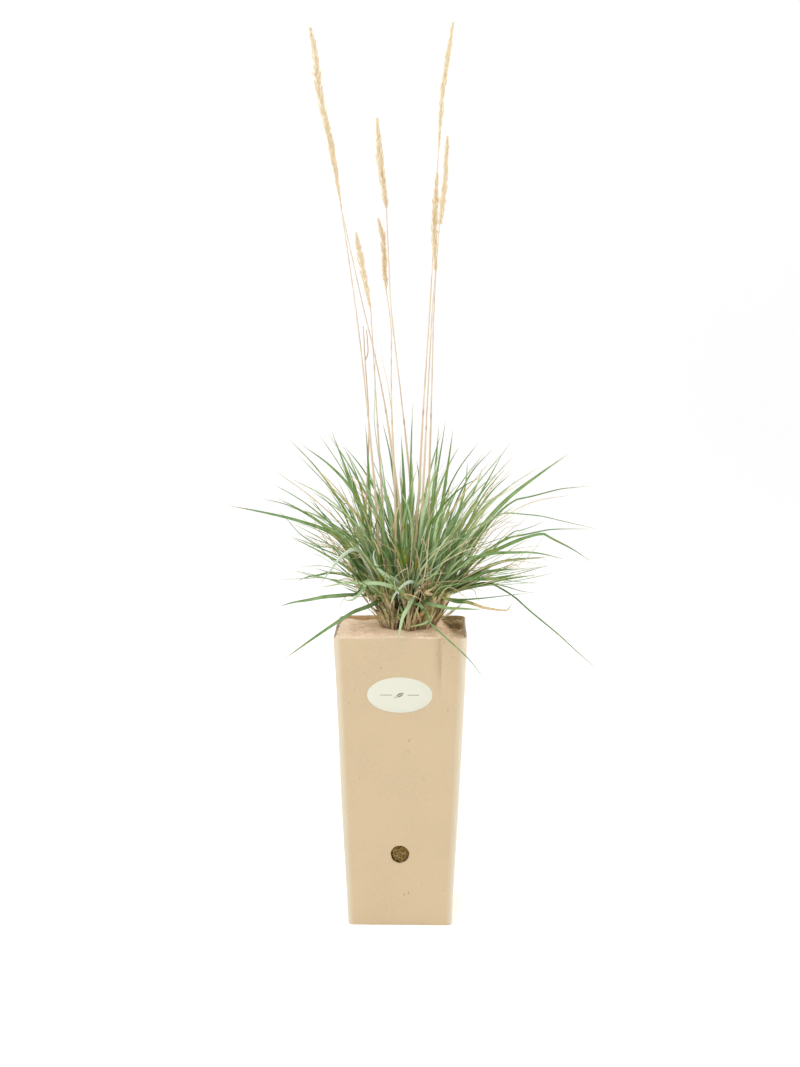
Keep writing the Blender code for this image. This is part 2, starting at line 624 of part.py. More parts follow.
def make_head(number, path, radius, group):
    """A lobed spindle along its path: the outer shape of a dense spike of small flowers."""
    tangent = np.gradient(path, axis=0)
    tangent /= np.linalg.norm(tangent, axis=1)[:, None]
    side = np.cross(tangent, (0.0, 1.0, 0.0))
    side /= np.linalg.norm(side, axis=1)[:, None]
    other = np.cross(tangent, side)
    share = np.linspace(0.0, 1.0, len(path))
    size = radius * np.array(HEAD_PROFILE) * (1.0 + 0.14 * np.sin(2 * np.pi * HEAD_LOBES * share + number))
    ring = circle(HEAD_SIDES)
    rings = path[:, None] + size[:, None, None] * (
        ring[None, :, :1] * side[:, None] + ring[None, :, 1:] * other[:, None]
    )
    name = f"seed_head_{number}"
    add_object(name, loft(name, rings), group, "seed_head")


def make_flower_stems(group):
    """Eight stems, each with its seed head."""
    for number, (bundle, aside, points, head_points, head_radius) in enumerate(STEMS, start=1):
        path = stem_path(bundle, aside, points, STEM_POINTS)
        radii = np.linspace(STEM_FOOT_RADIUS, STEM_TOP_RADIUS, STEM_POINTS)
        add_tube(f"flower_stem_{number}", path, radii, group, "straw_stem")
        way = path[-1] - path[-2]
        start = path[-1] + way / np.linalg.norm(way) * GAP
        head = smooth_path([start, *head_points], len(HEAD_PROFILE))
        make_head(number, head, head_radius, group)


def make_dry_stem(group, helpers):
    """A thin broken stem with a second prong near its top."""
    path = stem_path(DRY_BUNDLE, DRY_ASIDE, DRY_STEM, STEM_POINTS)
    radii = np.linspace(DRY_RADIUS, DRY_RADIUS * 0.6, STEM_POINTS)
    stem = tube_as_mesh(add_tube("dry_stem", path, radii, group, "straw_stem"), group)
    prong_path = smooth_path(DRY_PRONG, 5)
    prong_radii = np.full(5, DRY_RADIUS * 0.6)
    prong = add_tube("dry_prong", prong_path, prong_radii, helpers, "straw_stem")
    boolean(stem, "UNION", as_helper(tube_as_mesh(prong, helpers)))


def all_blades(all_shoots):
    """The blades of each shoot: the photographed ones first, then those of the formula that are clear."""
    placed = [("stem", stem_path(*stem[:3], 90)) for stem in STEMS]
    placed.append(("stem", stem_path(DRY_BUNDLE, DRY_ASIDE, DRY_STEM, 60)))
    blades = [[] for _ in all_shoots]
    for bundle, width, points in LEAVES:
        owner, line = leaf_owner(all_shoots, bundle, points, blades, placed)
        blades[owner].append((width, line))
        placed.append((owner, spaced(line, PATH_SAMPLES)))
    index = 1
    for wanted in range(1, BLADES_PER_SHOOT + 1):
        for owner, shoot in enumerate(all_shoots):
            for _ in range(FILL_TRIES):
                if len(blades[owner]) >= wanted:
                    break
                width, line = fill_blade(index, shoot, len(blades[owner]))
                index += 1
                if is_clear(line, owner, placed):
                    blades[owner].append((width, line))
                    placed.append((owner, spaced(line, PATH_SAMPLES)))
    return blades


def main():
    clear_scene()
    group = collection("potted_blue_hair_grass")
    helpers = collection("helpers")
    make_pot(group, helpers)
    make_label(group)
    make_root_ball(group, helpers)
    for name in BUNDLES:
        make_bundle(name, group)
    all_shoots = shoots()
    make_shoots(all_shoots, all_blades(all_shoots), group, helpers)
    make_flower_stems(group)
    make_dry_stem(group, helpers)


main()
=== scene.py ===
"""Potted blue hair grass: the looks of every piece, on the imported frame.

Metres, +Z up, the label towards -Y. Pieces are surfaces worked out as whole arrays with numpy, most of
them skins: rings of points carried along a line, closed at both ends.
"""

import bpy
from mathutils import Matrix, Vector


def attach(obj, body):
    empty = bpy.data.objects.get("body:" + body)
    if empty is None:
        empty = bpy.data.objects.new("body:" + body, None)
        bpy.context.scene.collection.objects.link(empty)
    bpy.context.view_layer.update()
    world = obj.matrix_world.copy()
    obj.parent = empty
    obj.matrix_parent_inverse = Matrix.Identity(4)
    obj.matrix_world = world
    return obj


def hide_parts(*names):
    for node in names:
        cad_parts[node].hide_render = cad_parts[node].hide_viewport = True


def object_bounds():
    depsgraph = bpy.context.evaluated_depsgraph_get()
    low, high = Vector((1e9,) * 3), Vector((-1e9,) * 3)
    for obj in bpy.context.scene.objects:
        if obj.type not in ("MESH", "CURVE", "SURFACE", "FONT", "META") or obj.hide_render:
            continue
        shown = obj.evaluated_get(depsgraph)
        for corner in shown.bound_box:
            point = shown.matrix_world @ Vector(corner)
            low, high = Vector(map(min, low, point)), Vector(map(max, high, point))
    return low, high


bl_info = {
    "name": "Potted blue hair grass",
    "version": (1, 0, 0),
    "blender": (4, 5, 0),
    "location": "3D View > Sidebar > Potted grass",
    "description": "Models a clump of blue hair grass in a tall kraft-board pot",
    "category": "Add Mesh",
}

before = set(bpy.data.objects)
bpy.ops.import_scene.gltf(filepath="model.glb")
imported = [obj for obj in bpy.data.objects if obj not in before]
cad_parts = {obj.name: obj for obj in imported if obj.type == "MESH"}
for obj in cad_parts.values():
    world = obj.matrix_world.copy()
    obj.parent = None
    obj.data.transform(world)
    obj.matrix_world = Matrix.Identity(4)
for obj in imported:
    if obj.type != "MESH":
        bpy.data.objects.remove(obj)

import math

import bpy
import numpy as np
from bpy.props import FloatProperty, FloatVectorProperty, IntProperty, PointerProperty

CAD_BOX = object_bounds()

# The pot, its label and the coir's level, as in the frame's solids. GAP is the room between solids
GAP = 0.0003
POT_HEIGHT = 0.235
POT_TOP = 0.105
POT_BOTTOM = 0.083
RIM_CORNER = 0.0085
FOOT_CORNER = 0.0040
WALL = 0.0016
SEAM_HALF = 0.0070
SEAM_HALF_SOFT = 0.0078
SEAM_STEP = 0.0008
LABEL_WIDTH = 0.051
LABEL_HEIGHT = 0.0285
LABEL_THICK = 0.0003
LABEL_CENTRE_Z = 0.1898
CREASE_X = 0.0318
GROUND = 0.2340
CLUMP_CENTRE = (0.005, -0.004)

# The drain hole as the photograph shows it, a little wider and higher than in the solids
DRAIN_RADIUS = 0.0074
DRAIN_HEIGHT = 0.0593

# Hills and dips of the coir: height, middle, and spread in x and y. The solids have those of GROUND_HILLS:
# a low mound under the grass, a dip at the back left, a pit at the back right, a slope at the right and a
# small rise beside the pit
GROUND_HILLS = (
    (0.0030, (0.005, -0.006), (0.024, 0.022)),
    (-0.0060, (-0.030, 0.040), (0.016, 0.009)),
    (-0.0150, (0.0395, 0.029), (0.0065, 0.014)),
    (-0.0025, (0.0475, -0.010), (0.007, 0.022)),
    (0.0020, (0.025, 0.028), (0.006, 0.010)),
)

# On top of those come a lump at the clump's right, the solids' pit filled in, and a pit that lies closer to
# the back wall and opens to the right
SEEN_HILLS = (
    (0.0062, (0.0290, 0.012), (0.0042, 0.014)),
    (0.0150, (0.0395, 0.029), (0.0065, 0.014)),
    (-0.0135, (0.0380, 0.033), (0.0080, 0.0090)),
    (-0.0040, (0.0450, 0.006), (0.0080, 0.0170)),
)

# How finely the pot, its label and the root ball are made
POT_COLUMNS = 384
POT_RINGS_OUTSIDE = 120
POT_RINGS_INSIDE = 38
LABEL_COLUMNS = 96
DRILL_COLUMNS = 64
BALL_COLUMNS = 420
BALL_RINGS_ON_TOP = 92
PIT_FIBRES = 420
DRAIN_FIBRES = 46
FIBRE_STATIONS = 7

# Seeds of the random draws, one for each group of pieces
FIBRE_SEED = 41
SHEATH_SEED = 51
LEAF_SEED = 61
STRAY_SEED = 71
STEM_SEED = 81
HEAD_SEED = 91

# Sheath bundles: foot (x, y), radius at the foot, lean (run in x and y for each metre of rise). A ring of
# old sheaths has a number of sheaths and a share of the bundle's radius
BUNDLE_HEIGHT = 0.021
BUNDLE_RINGS = ((12, 0.86), (9, 0.56), (6, 0.28))
# The sheaths that stand between the bundles; their near black colour is painted shade in the gaps
BETWEEN_RINGS = ((30, 0.84), (26, 0.60), (18, 0.34))
BETWEEN_RADIUS = 0.0190
BUNDLES = {
    "left": ((-0.0150, -0.008), 0.0060, (-0.32, -0.05)),
    "front_left": ((-0.008, -0.019), 0.0050, (-0.10, -0.12)),
    "front": ((0.0065, -0.022), 0.0065, (0.02, -0.16)),
    "front_right": ((0.0195, -0.017), 0.0055, (0.16, -0.12)),
    "right": ((0.0260, -0.006), 0.0056, (0.32, 0.00)),
    "back_right": ((0.020, 0.009), 0.0065, (0.24, 0.24)),
    "back": ((0.006, 0.014), 0.0065, (0.00, 0.30)),
    "back_left": ((-0.009, 0.008), 0.0065, (-0.26, 0.22)),
    "heart": ((0.005, -0.004), 0.0070, (0.00, 0.02)),
}

# How brown and frayed some of the bundles are, from 0 to 1
BROWN_BUNDLES = {"left": 0.8, "front": 0.3, "front_right": 0.3, "right": 0.2}

# How many shoots stand on each bundle
SHOOTS_ON = {
    "left": 3, "front_left": 3, "front": 3, "front_right": 3, "right": 4,
    "back_right": 4, "back": 3, "back_left": 3, "heart": 3,
}

# Shoots: the radius of their ring as a share of the bundle's, their sheaths, and how far they lean apart
SHOOT_RING = 0.62
SHEATH_FOOT = -0.0105
SHEATH_HEIGHT = 0.011
SHEATH_RADIUS = 0.0020
SHOOT_SPREAD = 0.22

# Blades: how many a shoot has, points along a line of each kind, height of the first root and the step to
# the next, and how far aside of the sheath's middle they start
BLADES_PER_SHOOT = 4
LEAF_RINGS = 6
FILL_RINGS = 5
BLADE_ROOT = (0.0040, 0.0011)
BLADE_OFFSET = 0.0009

# Room between blades near their feet and further out, the length that counts as near, the length that
# blades of one shoot may share, and how many points of a line are compared
CLEAR_NEAR = 0.0029
CLEAR_FAR = 0.0042
NEAR_LENGTH = 0.020
SHARED_LENGTH = 0.035
PATH_SAMPLES = 48
STEM_SAMPLES = 90
DRY_SAMPLES = 60

# Blades by the formula: ranges of length, of width, and of tilt in degrees at the foot and at the tip, half
# the fan of their azimuths in degrees, and how often one is tried
FILL_LENGTH = (0.085, 0.150)
FILL_WIDTH = (0.0028, 0.0042)
FILL_TILT_FOOT = (4.0, 26.0)
FILL_TILT_TIP = (22.0, 88.0)
FILL_FAN = 55.0
FILL_TRIES = 40

# How far from the clump's middle its outer shoots stand, a blade's thickness, and points along a line
OUTER_REACH = 0.034
BLADE_THICK = 0.00016
BLADE_STATIONS = 34
STRAY_STATIONS = 18
STRAND_STATIONS = 30
COURSE_STATIONS = 24


def metres(table):
    """The same table with its numbers turned from millimetres into metres, to a tenth of a micrometre."""
    if isinstance(table, dict):
        return {key: metres(part) for key, part in table.items()}
    if isinstance(table, (list, tuple)):
        return type(table)(metres(part) for part in table)
    return table if isinstance(table, str) else round(table / 1000.0, 7)


# Blades seen singly in the photograph, in millimetres: bundle, width, then points from the first bend
# to the tip
LEAVES = metres([
    ("left", 4.2, [(-44, -13, 303), (-77, -17, 321), (-134, -22, 334)]),
    ("left", 3.4, [(-39, -2, 297), (-71, 2, 322), (-100, 8, 337)]),
    ("back_left", 4.4, [(-29, 11, 320), (-49, 15, 355), (-81, 18, 381)]),
    ("back_left", 4.4, [(-29, 19, 311), (-45, 31, 355), (-60, 42, 391)]),
    ("left", 4, [(-25, -7, 314), (-27, -4, 358), (-30, -2, 397)]),
    ("left", 3.6, [(-27, -14, 315), (-34, -18, 353), (-44, -22, 377)]),
    ("left", 2.6, [(-35, 4, 288), (-56, 15, 311), (-77, 26, 337)]),
    ("left", 2.8, [(-39, -22, 283), (-63, -33, 299), (-85, -42, 311)]),
    ("front_left", 4.2, [(-26, -31, 293), (-37, -38, 302), (-62, -46, 276)]),
    ("left", 3.4, [(-36, 0, 273), (-59, 7, 277), (-86, 14, 270)]),
    ("front_left", 4.4, [(-16, -31, 274), (-43, -38, 275), (-62, -42, 272)]),
    ("left", 4.8, [(-38, -18, 267), (-64, -22, 264), (-95, -26, 257)]),
    ("left", 4.4, [(-34, -24, 261), (-53, -36, 243), (-89, -50, 216)]),
    ("heart", 3.8, [(-3, 1, 321), (-8, 5, 369), (-14, 10, 400)]),
    ("heart", 3.2, [(7, 1, 305), (7, 1, 370), (8, 0, 415)]),
    ("heart", 5, [(3, -13, 307), (3, -21, 355), (1, -30, 391)]),
    ("front_right", 4, [(24, -24, 315), (28, -26, 367), (30, -28, 399)]),
    ("back_right", 3, [(24, 15, 311), (29, 23, 368), (33, 30, 399)]),
    ("front_right", 4.6, [(30, -15, 315), (36, -13, 355), (41, -12, 396)]),
    ("back_right", 2.6, [(34, 23, 302), (53, 35, 350), (75, 48, 375)]),
    ("right", 3.4, [(42, -1, 301), (61, 5, 337), (81, 10, 374)]),
    ("right", 3, [(45, 7, 300), (68, 19, 337), (90, 30, 357)]),
    ("back_right", 3.6, [(35, 28, 308), (56, 44, 334), (67, 60, 359)]),
    ("front_right", 3.6, [(36, -28, 306), (48, -36, 341), (52, -44, 373)]),
    ("right", 5.4, [(48, -9, 292), (82, -11, 337), (132, -14, 376)]),
    ("right", 3.4, [(60, 0, 302), (103, 3, 337), (153, 8, 347)]),
    ("back_right", 2.6, [(51, 19, 299), (96, 27, 324), (160, 34, 311)]),
    ("right", 3.2, [(58, -13, 290), (98, -19, 312), (149, -24, 319)]),
    ("right", 4.4, [(57, -22, 291), (101, -32, 310), (147, -42, 293)]),
    ("front_right", 5.4, [(43, -30, 283), (80, -42, 301), (127, -56, 297)]),
    ("right", 4, [(56, -4, 277), (83, -3, 288), (117, -2, 292)]),
    ("right", 2.8, [(55, 6, 266), (84, 15, 271), (110, 24, 274)]),
    ("right", 2.6, [(63, -15, 276), (106, -23, 251), (159, -32, 205)]),
    ("front_right", 4.6, [(34, -33, 258), (58, -45, 257), (85, -56, 261)]),
    ("front_right", 3.6, [(30, -37, 260), (44, -58, 239), (62, -74, 211)]),
    ("front", 4.6, [(10, -35, 276), (-2, -46, 268), (-10, -56, 254)]),
    ("front", 4.8, [(7, -43, 262), (2, -56, 249), (1, -64, 231)]),
    ("front", 3.6, [(16, -36, 259), (23, -44, 249), (12, -50, 242)]),
])

# How waxy those blades are, and what share of its width a blade keeps
LEAF_WAX = 0.28
WAXY_LEAVES = {8: 1.35, 10: 1.0, 33: 0.6, 35: 1.35, 36: 1.15, 37: 0.7}
SEEN_SLIMMER = 0.78
BETWEEN_SLIMMER = 0.74

# Closer courses of some of those blades, by their number above, in millimetres: width, then points to
# the tip
COURSES = metres({
    8: (4, [
        (-28, -24, 292), (-31, -36, 301), (-36, -44, 304), (-41, -48, 302), (-47, -51, 297),
        (-52, -53, 290), (-62, -54, 277),
    ]),
    9: (2.4, [
        (-35, 0, 274), (-43, 2, 276), (-52, 5, 277), (-60, 7, 277), (-69, 9, 275), (-79, 12, 273),
        (-88, 14, 269),
    ]),
    10: (3.4, [
        (4, -34, 265), (-2, -39, 271), (-8, -40, 274), (-16, -40, 276), (-23, -38, 276), (-31, -38, 276),
        (-43, -38, 276), (-55, -40, 274), (-63, -42, 273),
    ]),
    11: (3.3, [
        (-35, -18, 264), (-46, -20, 263), (-60, -21, 262), (-72, -23, 260), (-85, -24, 258),
        (-96, -26, 255),
    ]),
    12: (3, [
        (-18, -18, 260), (-22, -23, 258), (-30, -27, 254), (-37, -30, 251), (-52, -36, 242),
        (-71, -43, 230), (-91, -50, 216),
    ]),
    25: (2, [
        (60, 0, 302), (75, 1, 323), (91, 3, 336), (103, 4, 339), (127, 5, 345), (139, 7, 346),
        (152, 8, 347),
    ]),
    26: (1.4, [
        (62, 15, 307), (76, 18, 322), (85, 21, 325), (96, 24, 324), (113, 28, 322), (129, 31, 318),
        (161, 34, 310),
    ]),
    27: (1.9, [
        (58, -13, 290), (75, -15, 303), (85, -17, 309), (98, -18, 312), (110, -20, 315), (121, -22, 317),
        (148, -24, 318),
    ]),
    28: (3, [
        (57, -22, 291), (78, -25, 302), (90, -28, 308), (101, -31, 312), (110, -33, 314), (116, -36, 311),
        (132, -39, 303), (146, -42, 294),
    ]),
    29: (3, [
        (43, -30, 283), (53, -34, 294), (62, -37, 297), (74, -41, 300), (85, -45, 301), (100, -49, 302),
        (112, -52, 301), (126, -56, 298),
    ]),
    32: (1.4, [
        (63, -10, 272), (71, -13, 272), (79, -16, 269), (91, -19, 262), (102, -23, 253), (124, -26, 236),
        (140, -29, 222), (160, -32, 205),
    ]),
    33: (3, [
        (19, -33, 260), (25, -36, 259), (31, -39, 258), (39, -42, 257), (47, -44, 257), (58, -47, 257),
        (65, -50, 258),
    ]),
    34: (1.5, [
        (16, -36, 258), (20, -42, 255), (23, -49, 248), (29, -55, 243), (39, -61, 235), (52, -68, 224),
        (66, -74, 208),
    ]),
    35: (2.9, [
        (11, -35, 269), (12, -38, 274), (9, -42, 278), (4, -46, 276), (-1, -49, 271), (-5, -52, 265),
        (-8, -56, 259),
    ]),
    36: (3.3, [
        (10, -43, 265), (7, -46, 259), (4, -50, 254), (2, -54, 248), (1, -57, 241), (1, -60, 236),
        (2, -64, 233),
    ]),
    37: (2.5, [
        (11, -36, 259), (15, -38, 259), (19, -40, 255), (22, -42, 251), (23, -44, 248), (20, -46, 245),
        (16, -48, 244), (7, -50, 242),
    ]),
})

# Thin leaves and dead strands seen singly, in millimetres: finish, bundle, width, then points from near
# the clump to the tip
STRANDS = metres([
    ("leaf", "left", 1.6, [(-41, -4, 288), (-51, -4, 293), (-65, -5, 299), (-76, -6, 304), (-87, -6, 308)]),
    ("leaf", "left", 1, [
        (-52, 4, 295), (-66, 5, 299), (-78, 6, 306), (-86, 8, 313), (-93, 9, 321), (-100, 10, 328),
    ]),
    ("leaf", "back_left", 1.5, [
        (-41, 10, 302), (-52, 12, 312), (-62, 15, 323), (-70, 18, 330), (-77, 20, 337),
    ]),
    ("leaf", "back_left", 1.3, [(-47, 12, 312), (-57, 17, 323), (-67, 21, 332), (-76, 26, 336)]),
    ("leaf", "left", 1.2, [(-45, 4, 305), (-57, 7, 315), (-67, 9, 322), (-78, 12, 328)]),
    ("leaf", "left", 1.3, [
        (-37, -4, 304), (-41, -6, 310), (-49, -7, 319), (-56, -8, 328), (-60, -10, 336),
    ]),
    ("leaf", "back_left", 1.6, [(-40, 8, 327), (-44, 13, 333), (-55, 17, 344), (-65, 22, 351)]),
    ("leaf", "left", 1.6, [(-41, 2, 327), (-48, 4, 335), (-61, 6, 347)]),
    ("dead", "left", 0.9, [(-41, -8, 274), (-51, -12, 274), (-59, -16, 274)]),
    ("pale", "front_left", 3.6, [
        (-25, -30, 276), (-29, -34, 270), (-33, -38, 266), (-37, -40, 263), (-42, -41, 263),
        (-44, -41, 265),
    ]),
    ("dead", "front_left", 0.7, [
        (-34, -38, 265), (-42, -38, 265), (-46, -39, 260), (-48, -40, 257), (-46, -40, 253),
    ]),
    ("leaf", "left", 1.6, [(-28, -20, 263), (-34, -23, 266), (-40, -27, 269), (-45, -30, 272)]),
    ("dead", "left", 1, [(-56, -10, 307), (-61, -13, 312), (-72, -15, 317), (-84, -18, 321)]),
    ("dead", "left", 1, [(-48, -14, 301), (-58, -18, 308), (-69, -22, 312)]),
    ("dead", "left", 1.1, [(-23, -20, 290), (-23, -23, 294), (-35, -25, 294), (-41, -28, 292)]),
    ("dead", "left", 1.1, [(-24, -16, 275), (-32, -20, 282), (-47, -24, 291)]),
    ("pale", "front_left", 3.4, [
        (-2, -37, 276), (-7, -42, 281), (-13, -46, 285), (-18, -48, 291), (-20, -49, 297), (-20, -48, 302),
        (-17, -47, 306),
    ]),
    ("leaf", "front_left", 1.8, [(2, -34, 252), (-2, -36, 250), (-5, -38, 246), (-5, -40, 243)]),
    ("dead", "front", 1.2, [(3, -44, 268), (8, -45, 268), (13, -45, 266), (18, -46, 263)]),
    ("dead", "front", 1.1, [(15, -42, 271), (18, -43, 268), (20, -44, 265)]),
    ("dead", "front", 1.4, [(9, -42, 262), (12, -43, 268), (16, -44, 272)]),
    ("dead", "heart", 1.6, [
        (-4, -20, 289), (-7, -22, 296), (-11, -25, 304), (-17, -28, 312), (-24, -30, 317),
    ]),
    ("dead", "front", 1.5, [
        (2, -30, 275), (-1, -31, 281), (-2, -32, 290), (-2, -32, 299), (-6, -33, 308), (-11, -34, 312),
    ]),
    ("dead", "heart", 2.2, [
        (15, -26, 291), (15, -26, 300), (13, -27, 308), (13, -28, 317), (11, -28, 336),
    ]),
    ("half", "front_right", 1.6, [(14, -30, 284), (18, -31, 296), (20, -33, 306), (24, -34, 317)]),
    ("dead", "front_right", 1.3, [
        (21, -34, 282), (24, -34, 289), (24, -35, 295), (25, -36, 300), (28, -36, 300),
    ]),
    ("dead", "front_right", 2.8, [(20, -36, 268), (24, -38, 271), (28, -40, 274)]),
    ("leaf", "right", 1.2, [(84, -4, 308), (96, 1, 313), (106, 5, 316), (116, 10, 320)]),
    ("dead", "right", 0.8, [(79, 4, 310), (88, 7, 315), (96, 11, 317), (100, 14, 319)]),
    ("dead", "right", 0.7, [(72, 2, 316), (79, 6, 319), (94, 10, 318)]),
    ("dead", "right", 0.8, [(85, 6, 310), (94, 11, 316), (102, 16, 323)]),
    ("dead", "right", 0.9, [(70, 8, 307), (80, 13, 314), (92, 18, 321)]),
    ("dead", "right", 0.9, [
        (85, -20, 286), (92, -22, 288), (99, -25, 294), (106, -28, 303), (112, -30, 312),
    ]),
    ("dead", "right", 0.7, [(79, -10, 289), (95, -11, 291), (107, -11, 292), (117, -12, 291)]),
    ("leaf", "right", 1, [(79, -14, 276), (95, -17, 281), (117, -20, 288)]),
    ("dead", "right", 0.9, [(85, -16, 287), (94, -18, 285), (101, -20, 283), (106, -22, 280)]),
    ("leaf", "front_right", 3.4, [(52, -26, 277), (69, -29, 278), (84, -31, 281), (92, -34, 283)]),
    ("leaf", "right", 3.6, [(63, -18, 280), (78, -22, 284), (93, -26, 286)]),
    ("leaf", "right", 1.2, [(68, -10, 271), (81, -11, 270), (96, -13, 266), (106, -14, 265)]),
    ("leaf", "front_right", 1.3, [
        (45, -24, 261), (62, -26, 262), (78, -27, 264), (93, -28, 266), (101, -30, 267),
    ]),
    ("dead", "right", 0.9, [(56, -22, 269), (60, -24, 263), (63, -26, 259)]),
    ("half", "front_right", 3, [
        (44, -34, 261), (53, -38, 261), (67, -41, 257), (82, -45, 256), (85, -48, 259), (87, -52, 264),
    ]),
    ("dead", "heart", 1, [
        (-6, 4, 361), (-7, 4, 393), (-9, 5, 417), (-12, 5, 435), (-15, 6, 446), (-16, 6, 461),
    ]),
    ("pale", "heart", 0.9, [(-20, 4, 385), (-21, 4, 417), (-21, 4, 441), (-20, 4, 460), (-20, 4, 469)]),
])

# The tone and the dryness of each finish
STRAND_LOOKS = {"leaf": (0.28, 0.03), "pale": (1.25, 0.02), "half": (0.25, 0.50), "dead": (0.3, 1.4)}

# Thin leaves by the formula: whether they come from the outer shoots alone, length, and tilt from upright
# at the foot and at the tip in degrees
STRAYS = {
    "fine_leaves": (False, (0.035, 0.115), (2.0, 36.0), (20.0, 95.0)),
    "low_leaves": (True, (0.030, 0.105), (34.0, 78.0), (64.0, 112.0)),
    "dead_strands": (False, (0.035, 0.105), (4.0, 44.0), (20.0, 115.0)),
}

# Flower stems, in millimetres: bundle, how far aside of its middle, points up the stem, points up the
# seed head, and the head's radius
STEMS = metres([
    ("left", (0, 0),
     [(-18, -10, 306), (-27, -12, 417), (-36, -14, 495), (-47.5, -16, 575)],
     [(-56.2, -17.5, 621.7), (-62.9, -18.5, 657), (-64.7, -19, 677), (-69, -20, 700)], 2.9),
    ("back_left", (0, 0),
     [(-14, 8, 304), (-21, 16, 424), (-25, 22, 489)],
     [(-33, 26, 528), (-37, 28, 549)], 2.4),
    ("heart", (-1, 2.4),
     [(2, -1, 305), (-14, 12, 416), (-32, 16, 496), (-48, 20, 567)],
     [(-55, 22, 614), (-63, 24, 649)], 2.2),
    ("front_left", (0, 0),
     [(-4, -20, 307), (-7, -26, 418), (-7, -30, 472), (-11, -32, 504)],
     [(-12, -33, 519), (-13.1, -35, 541), (-16.6, -36, 555)], 2.6),
    ("back", (0, 0),
     [(9, 18, 321), (-1, 16, 425), (-8, 15, 484), (-12, 14, 568)],
     [(-17, 16, 604), (-19.5, 18, 637)], 2.6),
    ("heart", (2.6, -0.4),
     [(13, -7, 323), (18, -8, 417), (23, -6, 495), (29, -2, 610)],
     [(32, 2, 655), (40, 6, 708)], 2.1),
    ("front", (0, 0),
     [(16, -25, 324), (21, -25, 418), (25, -26, 495), (27, -27, 517)],
     [(26, -29, 552), (28, -31, 590)], 2.5),
    ("back_right", (0, 0),
     [(22, 8, 322), (24, 6, 417), (26, 8, 496), (30, 14, 555)],
     [(34, 17, 587), (36, 20, 623)], 2.4),
])
STEM_POINTS = 9
STEM_STATIONS = 220
STEM_RADII = (0.0009, 0.00042)
JOINT_HEIGHT = 0.402

# Each seed head's radius as a share, at nine even stations from its foot to its tip
HEAD_SHAPES = {
    1: (0.25, 0.42, 0.60, 0.84, 1.10, 1.28, 1.22, 0.88, 0.30),
    2: (0.32, 0.62, 0.86, 1.05, 1.20, 1.25, 1.15, 0.78, 0.22),
    3: (0.20, 0.38, 0.56, 0.70, 0.88, 0.98, 0.95, 0.80, 0.40),
    4: (0.50, 0.85, 0.90, 0.88, 0.96, 1.02, 0.95, 0.68, 0.22),
    5: (0.75, 0.98, 1.12, 1.22, 1.38, 1.20, 1.00, 0.72, 0.22),
    6: (0.25, 0.55, 0.85, 1.08, 1.12, 1.12, 1.00, 0.80, 0.22),
    7: (0.45, 0.80, 1.05, 1.20, 1.20, 1.10, 0.95, 0.70, 0.22),
    8: (0.70, 1.05, 1.15, 1.10, 1.05, 1.00, 0.92, 0.74, 0.25),
}

# How much paler each seed head is than the middle tone
HEAD_TONES = {1: 0.25, 2: 0.20, 3: 0.25, 4: -0.35, 5: 0.10, 6: 0.40, 7: 0.0, 8: 0.25}
HEAD_LOBES = 4.5
HEAD_STATIONS = 60
SPIKELETS_PER_METRE = 7600
HAIRS_PER_SPIKELET = 1.1
GOLDEN_ANGLE = 2.39996

# The broken dry stem and its prong, in millimetres: how far aside of the bundle's middle, and points
DRY_BUNDLE = "left"
DRY_ASIDE = metres((-2.8, 3.3))
DRY_STEM = metres([
    (-30, -4, 272), (-30, 0, 300), (-27.5, 4, 350), (-26, 4, 400), (-28.8, 3, 449), (-30, 2, 475),
])
DRY_PRONG = metres([(-28.8, 3, 448), (-26.4, 2, 455), (-27.4, 1, 472)])
DRY_STATIONS = 120
DRY_RADII = (0.0008, 0.00042)
PRONG_STATIONS = 30
PRONG_RADII = (0.0005, 0.00035)

# The camera stands where the photograph's did: distance, height, angle off the label's side, tilt down
CAMERA_DISTANCE = 1.25
CAMERA_HEIGHT = 0.466
CAMERA_AZIMUTH = 1.4
CAMERA_TILT = 7.1
CAMERA_AIM_X = -0.001
FOCAL_PIXELS = 1572.0
PHOTO_SIZE = (800, 1067)
SENSOR = 0.036


def linear(red, green, blue):
    """A screen colour of 0 to 255 as the linear values that shaders take."""
    return tuple(((value / 255 + 0.055) / 1.055) ** 2.4 for value in (red, green, blue))


def colour_setting(name, description, *screen):
    """A colour whose default is given as a screen colour of 0 to 255."""
    return FloatVectorProperty(
        name=name, description=description, subtype="COLOR", size=3, min=0, max=1, default=linear(*screen)
    )


def length_setting(name, description, default, low, high):
    """A length in metres."""
    return FloatProperty(
        name=name, description=description, unit="LENGTH", precision=5, default=default, min=low, max=high
    )


def count_setting(name, description, default, high):
    """A number of pieces."""
    return IntProperty(name=name, description=description, default=default, min=0, max=high)


def strength_setting(name, description, default):
    """A strength or power that is never below nought."""
    return FloatProperty(name=name, description=description, default=default, min=0)


class PotSettings(bpy.types.PropertyGroup):
    """Colours of the pot and its label, and the crease"""

    board_colour: colour_setting("Board", "Colour of the kraft board", 199, 177, 144)
    fleck_colour: colour_setting("Flecks", "Colour of the small dark fibres in the board", 150, 118, 80)
    label_colour: colour_setting("Label", "Colour of the oval label", 217, 216, 199)
    crease_depth: length_setting("Crease depth", "Depth of the crease under the rim", 0.0011, 0, 0.002)


class CoirSettings(bpy.types.PropertyGroup):
    """Colours of the root ball, and its loose fibres"""

    felt_colour: colour_setting("Felted top", "Colour of the felted coir at the top", 245, 220, 194)
    soil_colour: colour_setting("Deep coir", "Colour of the coir in the pit and the hole", 134, 107, 32)
    fibres: count_setting("Fibres", "Number of loose coir fibres", 1500, 4000)
    fibre_radius: length_setting("Fibre radius", "Radius of one loose fibre", 0.00009, 0.00003, 0.0003)


